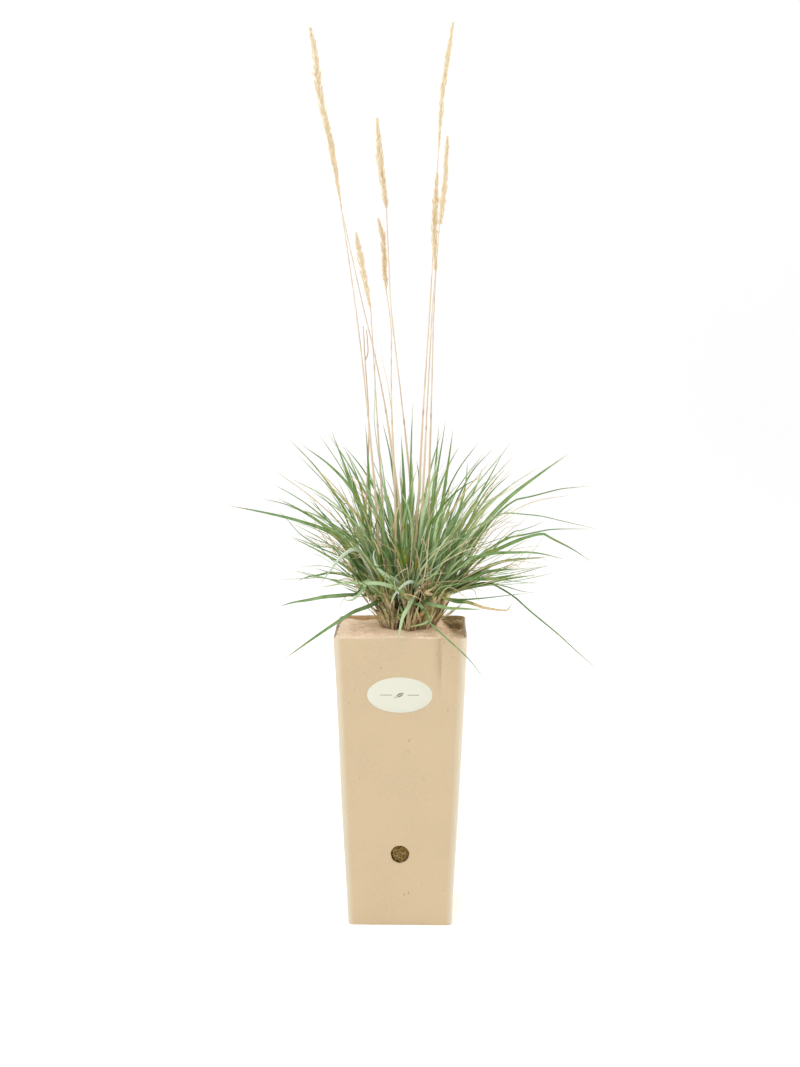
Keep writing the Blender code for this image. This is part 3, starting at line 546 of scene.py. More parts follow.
class LeafSettings(bpy.types.PropertyGroup):
    """Colours of the leaves, and how many thin ones there are"""

    green: colour_setting("Green", "Deep green of the leaf blades", 70, 112, 25)
    glaucous: colour_setting("Blue green", "Waxy blue green of the blades", 187, 212, 157)
    yellow: colour_setting("Yellow green", "Yellow green at the blades' feet", 204, 208, 130)
    dead: colour_setting("Dead leaf", "Tan of dry tips and dead strands", 220, 190, 142)
    fine_leaves: count_setting("Fine leaves", "Number of thin leaves between the blades", 228, 600)
    low_leaves: count_setting("Low leaves", "Number of thin leaves that lie nearly level", 92, 400)
    dead_strands: count_setting("Dead strands", "Number of thin dead strands", 96, 600)


class StemSettings(bpy.types.PropertyGroup):
    """Colours of the stems and seed heads, and the spikelets' length"""

    straw: colour_setting("Straw", "Colour of the flower stems", 216, 201, 183)
    seed: colour_setting("Seed heads", "Colour of the spikelets", 227, 215, 186)
    spikelet_length: length_setting("Spikelet length", "Length of one spikelet", 0.0043, 0.002, 0.012)


class StageSettings(bpy.types.PropertyGroup):
    """The floor and the lights"""

    floor_colour: FloatVectorProperty(
        name="Floor", description="Colour of the floor and backdrop", subtype="COLOR", size=3, min=0, max=1,
        default=(0.88, 0.88, 0.88),
    )
    floor_glow: strength_setting("Floor glow", "Light that the floor and backdrop give off", 0.27)
    daylight: strength_setting("Daylight", "Strength of the light all round", 0.645)
    softbox: strength_setting("Softbox", "Power of the large light overhead in watts", 18.0)
    side_lamps: strength_setting("Side lamps", "Power of each lamp at the sides in watts", 5.0)


# Arrays and curves


def unit(vectors):
    """Vectors of length 1, whatever the shape of the array."""
    return vectors / np.maximum(np.linalg.norm(vectors, axis=-1, keepdims=True), 1e-12)


def smoothstep(low, high, value):
    """0 below low, 1 above high, and between them 3t^2 - 2t^3."""
    t = np.clip((value - low) / (high - low), 0.0, 1.0)
    return t * t * (3.0 - 2.0 * t)


def ripple(points, wavelength, seed, waves=10):
    """Smooth noise, mostly between -1 and 1.

    It is the sum of plane waves with seeded directions and phases, over the square root of their number.
    """
    rng = np.random.default_rng(seed)
    directions = unit(rng.normal(size=(waves, 3))) * rng.uniform(0.6, 1.7, (waves, 1))
    directions = directions * 2 * np.pi / wavelength
    phases = rng.uniform(0, 2 * np.pi, waves)
    return np.sin(points @ directions.T + phases).sum(axis=-1) / math.sqrt(waves)


def spaced(curve, count):
    """The same polyline with its points evenly spaced."""
    run = np.concatenate([[0.0], np.cumsum(np.linalg.norm(np.diff(curve, axis=0), axis=1))])
    at = np.linspace(0.0, run[-1], count)
    return np.column_stack([np.interp(at, run, curve[:, k]) for k in range(3)])


def smooth_path(points, count):
    """Points spaced evenly along a smooth curve through the given ones.

    The curve is a cubic between each two points, and its slope at a point is half the step between the two
    points beside it.
    """
    points = np.asarray(points, float)
    padded = np.vstack([2 * points[0] - points[1], points, 2 * points[-1] - points[-2]])
    share = np.linspace(0.0, 1.0, 24, endpoint=False)[:, None]
    curve = []
    for a, b, c, d in zip(padded, padded[1:], padded[2:], padded[3:]):
        square = (2 * a - 5 * b + 4 * c - d) * share**2
        cube = (3 * b - a - 3 * c + d) * share**3
        curve.append(0.5 * (2 * b + (c - a) * share + square + cube))
    curve = np.vstack([*curve, points[-1:]])
    return spaced(curve, count)


def line_frames(lines, level_side=True, twist=0.0, facing=None):
    """Tangent, side and up along lines of shape (count, points, 3).

    The side is level and square to the line's chord, then squared to the tangent. Facing, a share for each
    line, turns its flat side towards the front or the back. The twist, an angle for each point, turns side
    and up about the tangent.
    """
    tangent = unit(np.gradient(lines, axis=1))
    chord = lines[:, -1] - lines[:, 0]
    level = np.stack([-chord[:, 1], chord[:, 0], np.zeros(len(lines))], axis=1)
    if not level_side:
        level = np.cross(chord, (0.31, 0.92, 0.23))
    level = unit(level)[:, None]
    side = unit(level - (tangent * level).sum(-1, keepdims=True) * tangent)
    up = np.cross(tangent, side)
    if facing is not None:
        front = np.array([0.0, -1.0, 0.12])
        front = unit(front - (tangent * front).sum(-1, keepdims=True) * tangent)
        nearer = np.where((up * front).sum(-1).mean(axis=1) < 0, -1.0, 1.0)[:, None, None]
        up = up + np.reshape(facing, (-1, 1, 1)) * (nearer * front - up)
        up = unit(up - (tangent * up).sum(-1, keepdims=True) * tangent)
        side = np.cross(up, tangent)
    cos, sin = np.cos(twist), np.sin(twist)
    if np.ndim(twist):
        cos, sin = cos[..., None], sin[..., None]
    return tangent, side * cos + up * sin, up * cos - side * sin


# Meshes


def skin_faces(count, rings, sides):
    """Quads round each of count skins, and the two end caps of each, as index arrays."""
    base = np.arange(count)[:, None, None] * rings * sides
    ring = np.arange(rings - 1)[None, :, None] * sides
    here = np.arange(sides)[None, None, :]
    after = (here + 1) % sides
    low, high = base + ring + here, base + ring + after
    quads = np.stack([low, high, high + sides, low + sides], axis=-1).reshape(-1, 4)
    first = (base[:, 0] + np.arange(sides)[::-1]).reshape(-1, sides)
    last = (base[:, 0] + (rings - 1) * sides + np.arange(sides)).reshape(-1, sides)
    return quads, np.concatenate([first, last])


def fill_mesh(mesh, points, loops, starts):
    """Puts points and faces into the mesh as arrays. starts holds each face's first corner."""
    mesh.vertices.add(len(points))
    mesh.vertices.foreach_set("co", np.ascontiguousarray(points, np.float32).ravel())
    mesh.loops.add(len(loops))
    mesh.loops.foreach_set("vertex_index", np.ascontiguousarray(loops, np.int32))
    mesh.polygons.add(len(starts))
    mesh.polygons.foreach_set("loop_start", np.ascontiguousarray(starts, np.int32))
    mesh.update(calc_edges=True)


def add_uv(mesh, table, corners):
    """A UV map: each corner takes the two values of its point."""
    layer = mesh.uv_layers.new(name="UVMap")
    layer.data.foreach_set("uv", np.ascontiguousarray(table[corners], np.float32).ravel())


def add_values(mesh, key, values):
    """A float attribute of the points."""
    layer = mesh.attributes.new(key, "FLOAT", "POINT")
    layer.data.foreach_set("value", np.ascontiguousarray(values, np.float32).ravel())


def shade_round(mesh, degrees=50):
    """Smooth shading, where edges that bend by more than the angle stay sharp."""
    mesh.shade_smooth()
    mesh.set_sharp_from_angle(angle=math.radians(degrees))


def skins_mesh(name, batches, smooth=True):
    """One mesh of closed skins.

    A batch is a dictionary: rings, an array of points (count, rings, sides, 3), and further arrays of one
    value for each point. Those named uv have two values and become the UV map, the others float attributes.
    """
    points, loops, starts, values = [], [], [], {}
    corner = vertex = 0
    for batch in batches:
        rings = batch["rings"]
        count, stations, sides = rings.shape[:3]
        quads, caps = skin_faces(count, stations, sides)
        points.append(rings.reshape(-1, 3))
        loops += [(quads + vertex).ravel(), (caps + vertex).ravel()]
        starts.append(corner + 4 * np.arange(len(quads)))
        corner += 4 * len(quads)
        starts.append(corner + sides * np.arange(len(caps)))
        corner += sides * len(caps)
        vertex += count * stations * sides
        for key, value in batch.items():
            if key != "rings":
                width, last = (2, (2,)) if key == "uv" else (1, ())
                value = np.broadcast_to(value, rings.shape[:3] + last)
                values.setdefault(key, []).append(value.reshape(-1, width))
    corners = np.concatenate(loops)
    mesh = bpy.data.meshes.new(name)
    fill_mesh(mesh, np.concatenate(points), corners, np.concatenate(starts))
    for key, parts in values.items():
        if key == "uv":
            add_uv(mesh, np.concatenate(parts), corners)
        else:
            add_values(mesh, key, np.concatenate(parts))
    if smooth:
        shade_round(mesh)
    return mesh


def wheel_mesh(name, rings, attributes=None):
    """A closed shell of rings of shape (rings, sides, 3) whose first and last ring have shrunk to a pole."""
    count, sides = rings.shape[:2]
    inner = rings[1:-1].reshape(-1, 3)
    points = np.vstack([inner, rings[0].mean(axis=0), rings[-1].mean(axis=0)])
    quads, _ = skin_faces(1, count - 2, sides)
    here = np.arange(sides)
    after = (here + 1) % sides
    last = (count - 3) * sides
    foot = np.column_stack([np.full(sides, len(inner)), after, here])
    head = np.column_stack([np.full(sides, len(inner) + 1), last + here, last + after])
    fans = np.concatenate([foot, head])
    loops = np.concatenate([quads.ravel(), fans.ravel()])
    starts = np.concatenate([4 * np.arange(len(quads)), quads.size + 3 * np.arange(len(fans))])
    mesh = bpy.data.meshes.new(name)
    fill_mesh(mesh, points, loops, starts)
    for key, value in (attributes or {}).items():
        add_values(mesh, key, np.concatenate([value[1:-1].ravel(), [value[0].mean(), value[-1].mean()]]))
    shade_round(mesh)
    return mesh


def add_piece(name, mesh, material, replaced=()):
    """A finished piece that rides on the one body and stands for the CAD nodes named."""
    piece = bpy.data.objects.new(name, mesh)
    bpy.context.scene.collection.objects.link(piece)
    mesh.materials.append(material)
    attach(piece, "root")
    if replaced:
        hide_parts(*replaced)
    return piece


# Materials


class Shading:
    """A node material. Each helper adds one node and returns its result, except these three: put links or
    sets a socket, colour and bump feed the shader itself."""

    def __init__(self, name, roughness, specular):
        self.material = bpy.data.materials.new(name)
        self.material.use_nodes = True
        self.tree = self.material.node_tree
        self.shader = self.tree.nodes["Principled BSDF"]
        self.shader.inputs["Roughness"].default_value = roughness
        self.shader.inputs["Specular IOR Level"].default_value = specular

    def put(self, socket, value):
        if isinstance(value, bpy.types.NodeSocket):
            self.tree.links.new(value, socket)
        elif socket.type == "RGBA" and len(value) == 3:
            socket.default_value = (*value, 1.0)
        else:
            socket.default_value = value

    def place(self, kind="Object"):
        return self.tree.nodes.new("ShaderNodeTexCoord").outputs[kind]

    def attribute(self, name):
        node = self.tree.nodes.new("ShaderNodeAttribute")
        node.attribute_name = name
        return node.outputs["Fac"]

    def stretch(self, vector, scale, turn=(0.0, 0.0, 0.0)):
        node = self.tree.nodes.new("ShaderNodeMapping")
        self.put(node.inputs["Vector"], vector)
        node.inputs["Scale"].default_value = scale
        node.inputs["Rotation"].default_value = turn
        return node.outputs["Vector"]

    def noise(self, vector, scale, detail):
        node = self.tree.nodes.new("ShaderNodeTexNoise")
        self.put(node.inputs["Vector"], vector)
        node.inputs["Scale"].default_value = scale
        node.inputs["Detail"].default_value = detail
        return node.outputs["Fac"]

    def ramp(self, value, low, high):
        """0 to 1 as the value goes from low to high."""
        node = self.tree.nodes.new("ShaderNodeMapRange")
        node.interpolation_type = "SMOOTHSTEP"
        self.put(node.inputs["Value"], value)
        self.put(node.inputs["From Min"], low)
        self.put(node.inputs["From Max"], high)
        return node.outputs["Result"]

    def math(self, operation, a, b=0.0, clamp=False):
        node = self.tree.nodes.new("ShaderNodeMath")
        node.operation = operation
        node.use_clamp = clamp
        self.put(node.inputs[0], a)
        self.put(node.inputs[1], b)
        return node.outputs[0]

    def times(self, a, b, clamp=False):
        return self.math("MULTIPLY", a, b, clamp)

    def plus(self, a, b, clamp=False):
        return self.math("ADD", a, b, clamp)

    def minus(self, a, b, clamp=False):
        return self.math("SUBTRACT", a, b, clamp)

    def mix(self, factor, a, b):
        node = self.tree.nodes.new("ShaderNodeMix")
        node.data_type = "RGBA"
        self.put(node.inputs[0], factor)
        self.put(node.inputs[6], a)
        self.put(node.inputs[7], b)
        return node.outputs[2]

    def split(self, vector):
        node = self.tree.nodes.new("ShaderNodeSeparateXYZ")
        self.put(node.inputs[0], vector)
        return node.outputs

    def colour(self, value):
        self.put(self.shader.inputs["Base Color"], value)

    def bump(self, height, distance, strength):
        node = self.tree.nodes.new("ShaderNodeBump")
        node.inputs["Strength"].default_value = strength
        node.inputs["Distance"].default_value = distance
        self.put(node.inputs["Height"], height)
        self.put(self.shader.inputs["Normal"], node.outputs["Normal"])


def shade(colour, factor):
    """A colour made lighter or darker."""
    return tuple(min(1.0, value * factor) for value in colour)


def board_material(settings):
    """Kraft board: clouds, fine crossing fibres, sparse dark and pale flecks, painted shade on the rim's top
    at the sides and back, a yellower painted shade inside, painted highlights down the rounded corners, and
    painted shade along the crease."""
    look = Shading("kraft_board", 0.78, 0.35)
    look.shader.inputs["Sheen Weight"].default_value = 0.5
    look.shader.inputs["Sheen Roughness"].default_value = 0.35
    place = look.place()
    board = settings.board_colour
    clouds = look.noise(place, 22.0, 3.0)
    colour = look.mix(look.ramp(clouds, 0.35, 0.65), shade(board, 0.965), shade(board, 1.025))
    across = look.noise(look.stretch(place, (260.0, 260.0, 2600.0)), 1.0, 2.0)
    along = look.noise(look.stretch(place, (2400.0, 2400.0, 300.0), (0.3, 0.4, 0.2)), 1.0, 2.0)
    fibres = look.plus(across, along)
    colour = look.mix(look.ramp(fibres, 0.82, 1.18), colour, shade(board, 1.05))
    flecks = look.noise(look.stretch(place, (420.0, 420.0, 230.0), (0.1, 0.5, 0.3)), 1.0, 1.0)
    colour = look.mix(look.times(look.ramp(flecks, 0.735, 0.80), 0.55), colour, settings.fleck_colour)
    pale = look.noise(look.stretch(place, (310.0, 310.0, 420.0), (0.7, 0.2, 0.4)), 1.0, 1.0)
    colour = look.mix(look.times(look.ramp(pale, 0.76, 0.82), 0.4), colour, shade(board, 1.22))
    # Painted shade: the inner wall darker and yellower, as shaded inside the pot
    colour = look.mix(look.attribute("inside"), colour, linear(196, 158, 112))
    # Painted highlight: pale strips down the rounded corners, as lit from the sides
    colour = look.mix(look.times(look.attribute("corner"), 0.85), colour, linear(204, 193, 170))
    # Painted shade along the crease under the rim
    colour = look.mix(look.attribute("crease"), colour, shade(board, 0.66))
    # Painted shade on the rim's top at the sides and back, where the inner wall lies in shade
    colour = look.mix(look.attribute("rim_shade"), colour, shade(settings.fleck_colour, 0.80))
    look.colour(colour)
    look.bump(look.plus(fibres, look.times(clouds, 2.0)), 0.00012, 0.5)
    return look.material


def label_material(settings):
    """Cream paper with a fine tooth, two thin rules across its middle, and a small slanting leaf.

    The leaf is a lens: the distance from its midrib is less than 1 - (t / half length)^2 of its half width.
    """
    look = Shading("label_paper", 0.55, 0.4)
    tooth = look.noise(look.place(), 2200.0, 2.0)
    cream = settings.label_colour
    colour = look.mix(look.ramp(tooth, 0.3, 0.7), shade(cream, 0.985), shade(cream, 1.01))
    u, v, _ = look.split(look.place("UV"))
    x = look.times(look.minus(u, 0.5), LABEL_WIDTH)
    y = look.times(look.minus(v, 0.5), LABEL_HEIGHT)
    rules = look.times(band(look, y, 0.0, 0.00020), band(look, x, 0.0, 0.0150))
    rules = look.times(rules, look.minus(1.0, band(look, x, 0.0, 0.0060)))
    cos, sin = math.cos(0.5), math.sin(0.5)
    t = look.plus(look.times(x, cos), look.times(y, sin))
    n = look.math("ABSOLUTE", look.minus(look.times(y, cos), look.times(x, sin)))
    share = look.math("DIVIDE", t, 0.0036)
    lens = look.times(look.minus(1.0, look.times(share, share)), 0.0015)
    leaf = look.ramp(look.minus(lens, n), 0.0, 0.00012)
    vein = look.times(band(look, n, 0.0, 0.00016), band(look, t, -0.0006, 0.0030))
    leaf = look.times(leaf, look.minus(1.0, vein))
    stalk = look.times(band(look, n, 0.0, 0.00018), band(look, t, -0.0042, 0.0009))
    ink = look.math("MAXIMUM", rules, look.math("MAXIMUM", leaf, stalk))
    look.colour(look.mix(look.times(ink, 0.85), colour, linear(92, 92, 80)))
    look.bump(tooth, 0.00003, 0.4)
    return look.material


def band(look, value, middle, half):
    """1 where the value is within half of the middle, with a thin soft edge."""
    away = look.math("ABSOLUTE", look.minus(value, middle))
    return look.minus(1.0, look.ramp(away, half, half + 0.00010))


def coir_material(name, settings):
    """Felted coir: tan felt above, olive brown where the attribute 'deep' is 1, with fibres every way."""
    look = Shading(name, 0.92, 0.2)
    place = look.place()
    felt, soil = settings.felt_colour, settings.soil_colour
    one = look.noise(look.stretch(place, (300.0, 2200.0, 900.0), (0.0, 0.0, 0.5)), 1.0, 2.0)
    two = look.noise(look.stretch(place, (2200.0, 320.0, 900.0), (0.0, 0.0, 0.3)), 1.0, 2.0)
    strands = look.plus(one, two)
    clouds = look.noise(place, 90.0, 4.0)
    top = look.mix(look.ramp(clouds, 0.36, 0.64), shade(felt, 0.90), shade(felt, 1.06))
    top = look.mix(look.ramp(strands, 0.78, 1.08), shade(felt, 0.80), top)
    below = look.mix(look.ramp(strands, 0.75, 1.25), shade(soil, 0.30), shade(soil, 1.5))
    below = look.mix(look.times(look.ramp(clouds, 0.52, 0.60), 0.7), below, linear(176, 122, 52))
    # The olive brown is the deeper coir's own colour in the pit and the hole, and painted shade near the
    # clump's middle
    look.colour(look.mix(look.attribute("deep_coir_and_shade"), top, below))
    look.bump(look.plus(strands, clouds), 0.0004, 0.5)
    return look.material


def fibre_material(name, settings):
    """A single coir fibre: tan to brown by its own tone."""
    look = Shading(name, 0.7, 0.35)
    felt, soil = settings.felt_colour, settings.soil_colour
    tone = look.attribute("tone")
    wander = look.noise(look.place(), 600.0, 2.0)
    mixed = look.plus(tone, look.times(look.minus(wander, 0.5), 0.5), clamp=True)
    look.colour(look.mix(mixed, shade(soil, 1.1), shade(felt, 1.12)))
    look.bump(wander, 0.00004, 0.5)
    return look.material


def leaf_material(settings):
    """A grass blade.

    The UV map has u across the blade and v along it. 'tone' goes from deep green to waxy blue green, 'dry'
    is how much of the blade, from its tip, is tan, and 'gold' how far the yellow green of its foot reaches.
    """
    look = Shading("leaf_blade", 0.50, 0.22)
    across, along, _ = look.split(look.place("UV"))
    tone, dry, gold = look.attribute("tone"), look.attribute("dry"), look.attribute("gold")
    place = look.place()
    green, glaucous = settings.green, settings.glaucous
    blotch = look.noise(look.stretch(place, (1.0, 1.0, 0.35)), 150.0, 3.0)
    wax = look.plus(tone, look.times(look.minus(blotch, 0.5), 0.9), clamp=True)
    colour = look.mix(wax, green, glaucous)
    colour = look.mix(look.times(look.ramp(tone, 1.0, 1.5), 0.9), colour, linear(212, 224, 212))
    ribs = look.math("SINE", look.times(across, 2 * math.pi * 7.0))
    colour = look.mix(look.times(look.ramp(ribs, -0.2, 1.0), 0.22), colour, shade(green, 0.62))
    midrib = look.minus(1.0, look.ramp(look.math("ABSOLUTE", look.minus(across, 0.5)), 0.02, 0.08))
    colour = look.mix(look.times(midrib, 0.40), colour, shade(glaucous, 1.12))
    # Painted shade: the lower half of each blade darker, as shaded inside the clump
    colour = look.mix(look.times(look.ramp(along, 0.55, 0.05), 0.70), colour, shade(green, 0.30))
    olive = look.noise(look.stretch(place, (1.0, 1.0, 0.4), (0.4, 0.3, 0.0)), 75.0, 2.0)
    spotted = look.minus(1.0, tone, clamp=True)
    colour = look.mix(look.times(look.ramp(olive, 0.56, 0.66), look.times(spotted, 0.6)), colour,
                      linear(166, 158, 50))
    colour = look.mix(look.times(look.ramp(olive, 0.69, 0.74), spotted), colour, linear(160, 104, 50))
    foot = look.minus(1.0, look.ramp(along, 0.0, look.plus(look.times(gold, 0.40), 0.08)))
    foot = look.times(foot, look.plus(0.55, blotch), clamp=True)
    colour = look.mix(foot, colour, settings.yellow)
    start = look.minus(1.0, dry)
    edge = look.plus(along, look.times(look.minus(blotch, 0.5), 0.30))
    tip = look.ramp(edge, look.minus(start, 0.10), look.plus(start, 0.06))
    streak = look.noise(look.stretch(place, (1.0, 1.0, 0.3)), 900.0, 2.0)
    dead = look.mix(tone, settings.dead, linear(236, 224, 186))
    dead = look.mix(look.times(look.ramp(streak, 0.65, 0.35), 0.6), dead, shade(settings.dead, 0.66))
    colour = look.mix(tip, colour, dead)
    # Painted shade: dark brown at the very foot of the blades and the sheath tubes
    look.colour(look.mix(look.times(look.ramp(along, 0.075, 0.0), 0.7), colour, linear(62, 48, 22)))
    look.bump(look.plus(ribs, look.times(midrib, -1.5)), 0.00005, 0.6)
    return look.material


def sheath_material(name, leaf, straw, brown):
    """Old papery sheath: brown at its foot, then straw, then yellow green, with fine upright streaks."""
    look = Shading(name, 0.75, 0.12)
    across, along, _ = look.split(look.place("UV"))
    streaks = look.noise(look.stretch(look.place(), (1400.0, 1400.0, 130.0)), 1.0, 3.0)
    colour = look.mix(look.attribute("tone"), brown, straw)
    colour = look.mix(look.ramp(streaks, 0.36, 0.46), shade(straw, 0.26), colour)
    patches = look.noise(look.place(), 260.0, 2.0)
    low = look.minus(1.15, look.plus(look.times(along, 2.4), patches), clamp=True)
    colour = look.mix(low, colour, linear(126, 78, 44))
    fresh = look.times(look.ramp(along, 0.20, 0.70), look.attribute("fresh"))
    look.colour(look.mix(fresh, colour, leaf.yellow))
    ribs = look.math("SINE", look.times(across, 2 * math.pi * 11.0))
    look.bump(look.plus(ribs, streaks), 0.00008, 0.6)
    return look.material


def stem_material(settings, leaf):
    """Straw stem: fine upright streaks, darker joints, and green left here and there by the attribute."""
    look = Shading("straw_stem", 0.50, 0.4)
    straw = settings.straw
    streaks = look.noise(look.stretch(look.place(), (1500.0, 1500.0, 60.0)), 1.0, 3.0)
    colour = look.mix(look.ramp(streaks, 0.36, 0.64), linear(192, 170, 149), shade(straw, 1.04))
    colour = look.mix(look.times(look.attribute("fresh"), 0.35), colour, leaf.yellow)
    colour = look.mix(look.times(look.attribute("low"), 0.75), colour, linear(213, 193, 164))
    colour = look.mix(look.attribute("joint"), colour, linear(150, 96, 56))
    look.colour(colour)
    look.bump(streaks, 0.00005, 0.5)
    return look.material


def spikelet_material(settings):
    """Papery spikelet: straw gold, each with its own tone, browner at its foot and pale at its tip."""
    look = Shading("spikelet", 0.62, 0.35)
    seed = settings.seed
    _, along, _ = look.split(look.place("UV"))
    colour = look.mix(look.attribute("tone"), linear(218, 186, 136), shade(seed, 1.14))
    colour = look.mix(look.times(look.ramp(along, 0.45, 0.0), 0.40), colour, linear(206, 176, 130))
    colour = look.mix(look.times(look.ramp(along, 0.6, 1.0), 0.7), colour, linear(252, 242, 218))
    streaks = look.noise(look.place(), 2600.0, 2.0)
    look.colour(look.mix(look.times(look.ramp(streaks, 0.4, 0.6), 0.20), colour, shade(seed, 0.70)))
    look.bump(streaks, 0.00005, 0.5)
    return look.material


# Pot


def rounded_square(turn, half, corner):
    """Points on squares with rounded corners, for arrays of turn (0 to 1), half width and corner radius.

    Each quarter runs up half a side, round a quarter circle and along half a side; its shares of the turn
    are the same for every size, so that rings of different sizes line up.
    """
    quarter = np.floor(turn * 4.0)
    t = turn * 4.0 - quarter
    straight, arc = 0.36, 0.28
    rise = (half - corner) * np.clip(t / straight, 0.0, 1.0)
    run = (half - corner) * np.clip((1.0 - t) / straight, 0.0, 1.0)
    bend = np.clip((t - straight) / arc, 0.0, 1.0) * np.pi / 2
    x = run + corner * np.cos(bend)
    y = rise + corner * np.sin(bend)
    angle = quarter * np.pi / 2
    return x * np.cos(angle) - y * np.sin(angle), x * np.sin(angle) + y * np.cos(angle)


def pot_width(z):
    """Outer width of the pot at height z."""
    return POT_BOTTOM + (POT_TOP - POT_BOTTOM) * z / POT_HEIGHT


def half_width(z):
    """Half the outer width of the pot at height z."""
    return pot_width(z) / 2


def wall_slope():
    """The walls' lean from upright, in radians."""
    return math.atan((POT_TOP - POT_BOTTOM) / 2 / POT_HEIGHT)


def corner_radius(half, z, inset=0.0):
    """Corner radius of a ring: wider towards the rim, less the inset, and shrinking to nothing at a pole."""
    radius = FOOT_CORNER + (RIM_CORNER - FOOT_CORNER) * np.clip(z / POT_HEIGHT, 0.0, 1.0)
    return np.where(half > 0.002, np.minimum(radius - inset, half * 0.9), 0.0)


def cover_wall(settings, x, y, z, outer):
    """Moves points of the wall along X and Y.

    Outwards is away from the axis of the nearer pair of walls. The board bows by slow waves, has an upright
    crease in front under the rim, and at the back a lap with soft edges that stands out by SEAM_STEP.
    """
    points = np.stack([x, y, z * 0.6], axis=-1)
    bow = 0.00028 * ripple(points, 0.085, 11) + 0.00005 * ripple(points, 0.012, 12)
    bow = bow * smoothstep(0.0, 0.02, z)
    front = smoothstep(0.92, 0.99, -y / half_width(z))
    back = smoothstep(0.92, 0.99, y / half_width(z))
    crease = settings.crease_depth * crease_share(x, z)
    lap = SEAM_STEP * smoothstep(SEAM_HALF_SOFT, SEAM_HALF, np.abs(x)) * smoothstep(0.0015, 0.004, z)
    lap = lap * smoothstep(POT_HEIGHT - 0.0006, POT_HEIGHT - 0.003, z) * outer
    push = bow - crease * front + lap * back
    reach = np.maximum(np.maximum(np.abs(x), np.abs(y)), 1e-9)
    x_share = smoothstep(0.75, 1.0, np.abs(x) / reach)
    y_share = smoothstep(0.75, 1.0, np.abs(y) / reach)
    return x + np.sign(x) * push * x_share, y + np.sign(y) * push * y_share


def crease_share(x, z):
    """The crease's depth as a share: it deepens slowly from the left, ends at once, and fades downwards."""
    slow = np.exp(np.minimum(x - CREASE_X, 0.0) / 0.0022)
    quick = 1.0 - smoothstep(CREASE_X, CREASE_X + 0.0009, x)
    return slow * quick * smoothstep(0.186, 0.222, z)


def pot_mesh(settings):
    """The pot as one closed shell.

    A ring is a rounded square. Its half width and height follow the profile: from the middle of the
    underside out to the foot, up the wall, over the half-round rim, down inside, and across the floor.
    """
    turn = (np.arange(POT_COLUMNS) + 0.5) / POT_COLUMNS
    foot = [(share * (half_width(0.0) - 0.0008), 0.0) for share in (0.0, 0.25, 0.5, 0.75, 0.93, 1.0)]
    foot += [(half_width(0.0) - 0.00025, 0.0002), (half_width(0.0005), 0.0008)]
    up = [(half_width(z), z) for z in np.linspace(0.0025, POT_HEIGHT - 0.0016, POT_RINGS_OUTSIDE)]
    bend = np.linspace(0.0, np.pi, 7)
    rim_z = POT_HEIGHT - WALL / 2
    rim = [(half_width(rim_z) - WALL / 2 * (1 - math.cos(a)), rim_z + WALL / 2 * math.sin(a)) for a in bend]
    depths = np.linspace(POT_HEIGHT - 0.0016, WALL + 0.002, POT_RINGS_INSIDE)
    down = [(half_width(z) - WALL, z) for z in depths]
    inside = [(share * (half_width(WALL) - WALL), WALL) for share in (0.98, 0.7, 0.35, 0.0)]
    profile = np.array(foot + up + rim + down + inside)
    half = profile[:, :1]
    z = np.repeat(profile[:, 1:], POT_COLUMNS, axis=1)
    number = np.arange(len(profile))[:, None]
    inner = number >= len(foot) + len(up) + 4
    x, y = rounded_square(turn[None], half, corner_radius(half, z, WALL * 0.9 * inner))
    wall = (number >= len(foot) - 1) & (number < len(profile) - len(inside))
    moved_x, moved_y = cover_wall(settings, x, y, z, ~inner)
    x, y = np.where(wall, moved_x, x), np.where(wall, moved_y, y)
    sway = 0.00022 * ripple(np.stack([x, y, 0 * x], axis=-1), 0.06, 21)
    sway = sway * smoothstep(0.9, 1.0, z / POT_HEIGHT)
    # Painted shade on the rim's top: most at the sides, less at the back, none at the front
    side = smoothstep(0.35, 0.44, np.abs(x) / pot_width(z)) * smoothstep(-0.047, -0.040, y)
    cut = smoothstep(POT_HEIGHT - 0.0009, POT_HEIGHT - 0.0002, z) * np.maximum(0.75 * side, 0.30 * (y > 0))
    nearness = 2 * np.minimum(np.abs(x), np.abs(y)) / pot_width(z)
    marks = {
        "rim_shade": cut,
        # Painted shade on the inner wall
        "inside": 0.85 * inner * smoothstep(0.0, 0.002, POT_HEIGHT - z),
        # Painted shade along the crease
        "crease": 0.8 * crease_share(x, z) * (y < -0.03) * ~inner,
        # Painted highlight down the rounded corners
        "corner": smoothstep(0.86, 0.955, nearness) * ~inner,
    }
    return wheel_mesh("pot_shell", np.stack([x, y, z + sway - 0.00022], axis=-1), marks)


def wall_frame(z):
    """Middle of the front wall at height z, the way up the wall, and the way out of it."""
    slope = wall_slope()
    middle = np.array([0.0, -half_width(z), z])
    up = np.array([0.0, -math.sin(slope), math.cos(slope)])
    out = np.array([0.0, -math.cos(slope), -math.sin(slope)])
    return middle, up, out


def drill_mesh():
    """A round skin square to the front wall, for cutting the drain hole."""
    middle, up, out = wall_frame(DRAIN_HEIGHT)
    angle = 2 * np.pi * np.arange(DRILL_COLUMNS) / DRILL_COLUMNS
    across = np.array([1.0, 0.0, 0.0])
    ring = DRAIN_RADIUS * (np.cos(angle)[:, None] * across + np.sin(angle)[:, None] * up)
    ring *= (1.0 + 0.012 * np.sin(3 * angle + 1.0) + 0.008 * np.sin(7 * angle))[:, None]
    rings = np.stack([middle + ring - out * 0.008, middle + ring + out * 0.004])[None]
    return skins_mesh("drain_drill", [{"rings": rings}], smooth=False)


